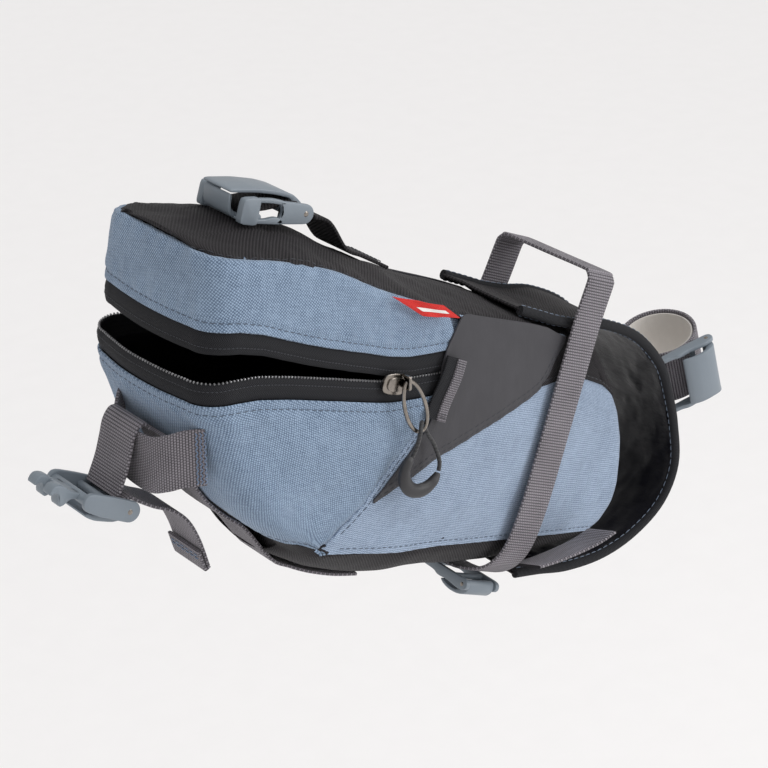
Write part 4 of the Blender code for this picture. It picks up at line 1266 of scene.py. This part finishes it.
def build_post_strap():
    axis = (POST_TOP - POST_FOOT).normalized()
    share = (-58.5 - POST_FOOT.z) / (POST_TOP.z - POST_FOOT.z)
    frame = frame_at(POST_FOOT + (POST_TOP - POST_FOOT) * share, (axis.z, 0, -axis.x), axis)
    for name, radius, thick, width, look, slot, node in (
        ("post_loop", POST_RADIUS + 2.3, WEB, 25, GREY_WEB, "grey_webbing", "seatpost_strap"),
        ("post_loop_grip", POST_RADIUS + 0.8, 0.8, 23, RUBBER, "grip_face", "seatpost_strap_grip"),
    ):
        ring = circle(Vector(), Vector((radius, 0, 0)), Vector((0, radius, 0)), 72)
        path = [frame @ place for place in ring]
        ribbon(name, (path, frame.to_3x3() @ Vector((0, 0, 1)), width, thick, True), look, "bag", slot, node)
    outward = Vector((-0.225, -0.974, 0))
    outward = (outward - outward.dot(axis) * axis).normalized()
    center = frame.translation + outward * (POST_RADIUS + 1.6 + WEB + 0.95)
    closed_buckle("seatpost_buckle", "post_lever", frame_at(center, axis.cross(outward), outward), 24)


def build_loop():
    path = [(-190.2, 18.5, -12.5), (-193.6, 16, -13.5), (-198.8, 10, -17.5), (-199.8, 3, -19)]
    path += [(-200.2, -12, -18.5), (-198.2, -20.5, -15.5), (-194.6, -25.5, -13), (-189.4, -31.2, -11.5)]
    path = smooth_path(path, 8)
    ribbon("light_strap", (path, Vector((0, 0, 1)), 22, WEB), GREY_WEB, "bag", "grey_webbing", "light_loop")
    thread = Piece()
    for spot, other in ((path[-3], path[-2]), (path[2], path[3])):
        run = (other - spot).normalized()
        out = run.cross(Vector((0, 0, 1))).normalized()
        out = out if out.x < 0 else -out
        bartack(thread, spot + out * 0.85, run, (0, 0, 1), out, 20, 1.5)
    thread.finish("light_strap_stitches", BLUE_THREAD, "bag", "grey_webbing")


def rear_buckle_frame():
    return frame_at((-221.0, REAR_STRAP_Y, -28.5), (-0.88, 0, 0.48), (0.48, 0, 0.88))


def build_rear_straps():
    spots = [(x, base_z(x) + belly(x)) for x in (-110, -121, -132, -141, -149)]
    spots += [tuple(wall(NEAR, 0, level)[[0, 2]]) for level in (0.035, 0.08, 0.13, 0.19, 0.25, 0.31, 0.36)]
    line = smooth_path([(x, -4.0, z) for x, z in spots], 4)
    path = []
    for before, here, after in zip(line[:1] + line, line, line[1:] + line[-1:]):
        run = after - before
        path.append(here + Vector((-run.z, 0, run.x)).normalized() * 1.7)
    anchor = path, ACROSS, WIDE_WEB, WEB
    ribbon("rear_anchor_strap", anchor, GREY_WEB, "bag", "grey_webbing", "rear_strap_anchor")
    out = [(-195.9, -8.2), (-197.2, -6.2), (-199.8, -6.2), (-202.4, -9.6), (-204, -15), (-206.2, -22)]
    out += [(-208.9, -28), (-210.4, -31)]
    pull = smooth_path([(x, REAR_STRAP_Y, z) for x, z in out], 7), ACROSS, WIDE_WEB, WEB
    ribbon("rear_pull_strap", pull, GREY_WEB, "rear_strap", "grey_webbing", "rear_strap")
    frame = rear_buckle_frame()
    tail = [frame @ Vector((x, 0, z)) for x, z in ((-12.3, 2.3), (-16, 4.3), (-21, 3.6))]
    down = ((-195, -39.4), (-187.6, -43.6), (-181.4, -50), (-177, -59), (-173.4, -71))
    path = smooth_path(tail + [Vector((x, REAR_STRAP_Y, z)) for x, z in down], 7)
    piece = Piece()
    piece.strap(path, ACROSS, WIDE_WEB, WEB)
    run = (path[-1] - path[-6]).normalized()
    back = run.cross(ACROSS).normalized()
    fold = [path[-1] + run * 0.5 + back * 0.4, path[-1] + run * 0.9 - back * 1.2]
    fold += [path[-1] - back * 1.7, path[-1] - run * 8 - back * 1.8]
    piece.strap(smooth_path(fold, 4), ACROSS, WIDE_WEB, WEB)
    piece.finish("rear_strap_end", GREY_WEB, "rear_strap", "grey_webbing", "rear_strap_tail")
    rows = []
    for away in (4.6, 6.2):
        for out, lift in ((back, 0.85), (-back, 2.6)):
            center = path[-1] - run * away + out * lift
            ends = [center + ACROSS * reach for reach in (-9, 9)]
            rows.append((ends, [out, out], 2.2, 0.7, 0.2, 0.12))
    sew("rear_strap_stitches", BLUE_THREAD, "rear_strap", "grey_webbing", *rows)


def build_top_strap():
    path = [(x, 0, top_z(x) + crown(x) + 3.4) for x in (-92, -98, -104, -111)]
    path += [(-118, 0, 49.8), (-125.2, 0, 53.9)]
    strap = smooth_path(path, 6), ACROSS, WIDE_WEB, WEB
    ribbon("lid_strap", strap, BLACK_CROSS, None, "black_ribbed_nylon", "top_strap")
    bar = Piece()
    spot = Vector((-96, 0, top_z(-96) + crown(-96) + 3.4 + 0.9))
    bartack(bar, spot, (0.9, 0, -0.45), (0, 1, 0), (0.45, 0, 0.9), 18, 1.6)
    bar.finish("lid_strap_stitches", DARK_THREAD, None, "black_ribbed_nylon")


# Buckles


def rails(piece, frame, width, thick, outline, edge=0.4):
    half = width / 2
    piece.molded(outline, -half - thick, -half, frame, edge)
    piece.molded(outline, half, half + thick, frame, edge)


def crossbars(piece, frame, reach, *bars):
    """Round bars between two rails."""
    for x, z, radius in bars:
        piece.bar(frame, x, z, radius, -reach, reach)


def lever(name, outline, half, frame, edge, body, node, radius=0.9):
    piece = Piece()
    piece.molded(outline, -half, half, frame, edge, radius)
    piece.finish(name, BUCKLE, body, "grey_plastic", node)


def pin(name, frame, x, z, radius, reach, body, node):
    """A turned pin with domed heads."""
    piece = Piece()
    piece.bar(frame, x, z, radius, -reach - 0.15, reach + 0.15, radius * 0.45)
    piece.finish(name, METAL, body, "nickel", node)


def closed_buckle(name, lever_body, frame, width):
    """A hook buckle fastened on itself: rails with bars, a curved cover lever and its pin."""
    thick, half = 2.0, width / 2
    outline = [(-14.5, 1.2), (-13, 0.3), (-4, 0), (13, 0.2), (14.5, 1.9), (13.8, 4.4), (9.5, 5.2), (2, 4.2)]
    outline += [(-3, 4.6), (-5.5, 3.4), (-13, 3.1)]
    body = Piece()
    rails(body, frame, width, thick, outline)
    crossbars(body, frame, half + thick / 2, (-10.5, 1.7, 1.3), (4.5, 1.5, 1.2))
    body.finish(f"{name}_rails", BUCKLE, "bag", "grey_plastic", f"{name}_frame")
    cover = [(9.2, 2.2), (9.9, 0.9), (11.6, 0.2), (13.2, 1.2), (13.6, 3.4), (12.8, 6.0), (9.6, 7.6)]
    cover += [(5, 8.2), (1, 7.8), (-2.6, 6.4), (-2.6, 5.1), (1, 6.3), (5, 6.8), (8.6, 6.0), (9.6, 4.4)]
    lever(f"{name}_cover", cover, half - 0.35, frame, 0.5, lever_body, f"{name}_lever", 1.2)
    pin(f"{name}_axle", frame, 11.4, 2.5, 1.0, half + thick, "bag", f"{name}_pin")


def build_bottom_buckle():
    down = Vector(RAIL_DOWN)
    center = down * (RAIL_LOOP_DEPTH + WEB / 2 + 0.35)
    frame = frame_at(center + Vector((0, -6.4, 0)), (0, -1, 0), down)
    closed_buckle("bottom_buckle", "bottom_lever", frame, 15.0)


def build_rear_buckle():
    frame = rear_buckle_frame()
    half, thick = 10.5, 2.2
    outline = arc((-16, 0), 4, 90, 270, 12) + [(-4, -4), (3, -3.2), (5, -1), (5, 2), (3, 3.6), (-6, 4)]
    body = Piece()
    rails(body, frame, 2 * half, thick, outline, 0.6)
    crossbars(body, frame, half + thick / 2, (-9, 0.4, 1.5), (2.5, 0.3, 2.0))
    claw = [(2, -0.8), (7, -0.9), (9, -4.2), (11, -4.8), (12.4, -1), (14, 0.2), (15.2, -1.6)]
    claw += [(16.4, -1.2), (15.6, 2.4), (12, 3.0), (7, 1.4), (2, 1.8)]
    for low, high in ((-7.5, -2.4), (2.4, 7.5)):
        body.molded(claw, low, high, frame, 0.5)
    neck = [(2, -0.8), (7, -0.9), (8.4, -2.2), (10.2, -1.2), (11.4, 2.6), (7, 1.4), (2, 1.8)]
    body.molded(neck, -7.0, 7.0, frame, 0.4)
    body.finish("rear_hook", BUCKLE, "rear_buckle", "grey_plastic", "rear_buckle_frame")
    plate = [(-18.3, 0.3), (-17.2, 1.7), (-15.3, 2.1), (-13.4, 1.3), (-12.9, -0.6), (-12.4, -2.4)]
    plate += [(-8, -3.2), (-2, -4.4), (1, -4.2), (1, -5.6), (-4, -6.4), (-12, -5.6), (-16.5, -3.6)]
    lever("rear_hook_lever", plate, half - 0.35, frame, 0.5, "rear_lever", "rear_buckle_lever")
    pin("rear_hook_axle", frame, -15.5, 0, 1.2, half + thick, "rear_buckle", "rear_buckle_pin")


def build_top_buckle():
    frame = frame_at((-143.0, 0.0, 60.6), (-0.96, 0, 0.28), (0.28, 0, 0.96))
    half, thick = 10.5, 2.0
    body = Piece()
    end = arc((-12.5, 0), 3.6, 90, 270, 10) + [(-6, -3.9), (0.4, -4.1), (-2.4, 0), (0.2, 4.2), (-6, 4.0)]
    upper = [(-3, 2.7), (3, 3.3), (10, 3.2), (10, 4.8), (3, 5.0), (-3, 4.2)]
    lower = [(-3, -4.1), (10, -4.3), (10, -2.6), (5, -2.5), (1, -1.4), (-3, -2.2)]
    for outline in (end, upper, lower):
        rails(body, frame, 2 * half, thick, outline, 0.5)
    clip = [(8.6, -4.8), (16.4, -4.5), (16.2, 4.6), (8.8, 5.2)]
    rails(body, frame, 2 * half - 0.8, thick + 1.2, clip, 0.5)
    crossbars(body, frame, half + thick / 2, (-5.5, 0.4, 1.5), (7.5, -2.2, 1.3))
    body.molded([(9.5, -4.3), (15, -4.1), (15, -2.7), (9.5, -2.9)], -half, half, frame, 0.4)
    lip = [(11, -4.2), (14.6, -4.0), (17.8, -2.2), (19.0, 4.6)]
    lip += [(17.6, 4.7), (16.6, -0.6), (14.2, -2.4), (11, -2.6)]
    body.molded(lip, -7.5, 7.5, frame, 0.4)
    body.finish("lid_buckle", BUCKLE, "top_buckle", "grey_plastic", "top_buckle_frame")
    plate = [(-15.2, 0.8), (-14.6, -1.4), (-12.5, -2.4), (-10.3, -1.2), (-9.6, 1.6), (-8.0, 4.4)]
    plate += [(0, 5.4), (8, 5.6), (19.2, 5.1), (19.3, 6.5), (8, 7.2), (-2, 6.9), (-9, 5.8), (-13.4, 3.0)]
    lever("lid_buckle_lever", plate, 8.0, frame, 0.45, "top_lever", "top_buckle_lever")
    inside = [(-10.4, 3.0), (-7.6, 3.0), (-4.6, 2.7), (-1, 1.4)]
    inside += [(4, 0.2), (7.5, -0.2), (9.4, -1.4), (9.2, -3.4)]
    path = smooth_path([frame @ Vector((x, 0, z)) for x, z in inside], 5)
    strap = path, ACROSS, 18.6, 1.2
    ribbon("lid_strap_in_buckle", strap, BLACK_CROSS, "top_buckle", "black_ribbed_nylon")
    pin("lid_buckle_axle", frame, -12.5, 0.2, 1.2, half + thick, "top_buckle", "top_buckle_pin")


# The zip's pull


def build_pull():
    center = Vector((-112, -38.4, -4.5))
    face = frame_at(center, (-0.942, 0, 0.334), (0, -1, 0))
    flat = face @ Matrix.Rotation(math.pi / 2, 4, "X")
    outline = [(-6, -2.2), (-4, -4), (2, -4), (5.5, -3), (5.5, 3), (2, 4), (-4, 4), (-6, 2.2)]
    slider = Piece()
    slider.molded(outline, -0.9, 0.2, flat, 0.3)
    crown_shape = [(-4.6, -1.6), (-2, -2.8), (3, -2.6), (4.2, 0), (3, 2.6), (-2, 2.8), (-4.6, 1.6)]
    slider.molded(crown_shape, 0.1, 0.9, flat, 0.3)
    y, z = -41.4, -3.6
    staple = [(y + 2.6, z - 3.0), (y - 1.8, z - 3.0), (y - 1.8, z + 2.7), (y + 2.6, z + 2.7)]
    staple += [(y + 2.6, z + 1.75), (y - 1.15, z + 1.75), (y - 1.15, z - 2.1), (y + 2.6, z - 2.1)]
    turned = Matrix(((0, 1, 0, -108.6), (1, 0, 0, 0), (0, 0, 1, 0), (0, 0, 0, 1)))
    slider.molded(staple, -0.6, 0.6, turned, 0.2, 0.5)
    slider.finish("slider_body", METAL, "slider", "nickel", "zip_slider")
    pivot = Vector((-108.6, -41.4, -3.6))
    along = Vector((7.0, 0.0, -21.5)).normalized()
    across = Vector((-along.z, 0.0, along.x))
    ring = []
    for k in range(60):
        angle = 2 * math.pi * k / 60
        reach = (1 - math.cos(angle)) / 2
        ring.append(pivot + along * 22.6 * reach + across * (4.0 + reach) * math.sin(angle))
    pull = Piece()
    pull.sweep(ring, ACROSS, oval(0.78, 0.78), loop=True)
    pull.finish("pull_loop", METAL, "pull_ring", "nickel", "zip_pull_ring")
    route = [(-107.05, -42.4, -33.6), (-105.9, -42.9, -31.0), (-104.9, -43.3, -27.5), (-104.1, -43.4, -24.4),
             (-102.0, -41.4, -22.1), (-99.5, -39.2, -23.6), (-97.5, -39.5, -28.5), (-95.4, -39.8, -32.0),
             (-94.0, -40.4, -36.0), (-93.4, -41.6, -40.3), (-94.3, -42.2, -43.6)]
    path = smooth_path(route, 3)
    data = bpy.data.curves.new("pull_string", "CURVE")
    data.dimensions = "3D"
    data.bevel_depth = 0.8 * MM
    data.bevel_resolution = 3
    data.use_fill_caps = True
    spline = data.splines.new("POLY")
    spline.points.add(len(path) - 1)
    for point, place in zip(spline.points, path):
        point.co = (*(place * MM), 1.0)
    data.materials.append(CORD_LOOK)
    string = put_in_scene("pull_string", data)
    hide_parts("zip_pull_cord")
    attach(string, "pull_grip")
    bow = [Vector((x, -42.2, z)) for x, z in arc((-102.2, -40.5), 8.4, 128, 333, 44)]
    shares = np.linspace(0, 1, len(bow))
    sizes = np.interp(shares, [0, 0.04, 0.2, 0.35, 0.7, 0.9, 1], [1.2, 1.8, 2.2, 2.8, 2.8, 2.0, 1.1])
    rings = []
    for before, point, after, size in zip(bow[:1] + bow, bow, bow[1:] + bow[-1:], sizes):
        up = (after - before).normalized().cross(ACROSS)
        rings.append(circle(point, ACROSS * min(size, 2.0), up * size, 12))
    grip = Piece()
    grip.loft(rings)
    grip.finish("pull_bow", GRIP_LOOK, "pull_grip", "grip_plastic", "zip_grip")


for build in (
    add_camera, add_stage, build_rear_panel, build_front_panels, build_gusset, build_nose_caps, build_base,
    build_lining, build_top, build_lid, build_zip, build_label, build_wings, build_hood, build_rail_strap,
    build_post_strap, build_bottom_buckle, build_loop, build_rear_straps, build_top_strap, build_rear_buckle,
    build_top_buckle, build_pull,
):
    build()
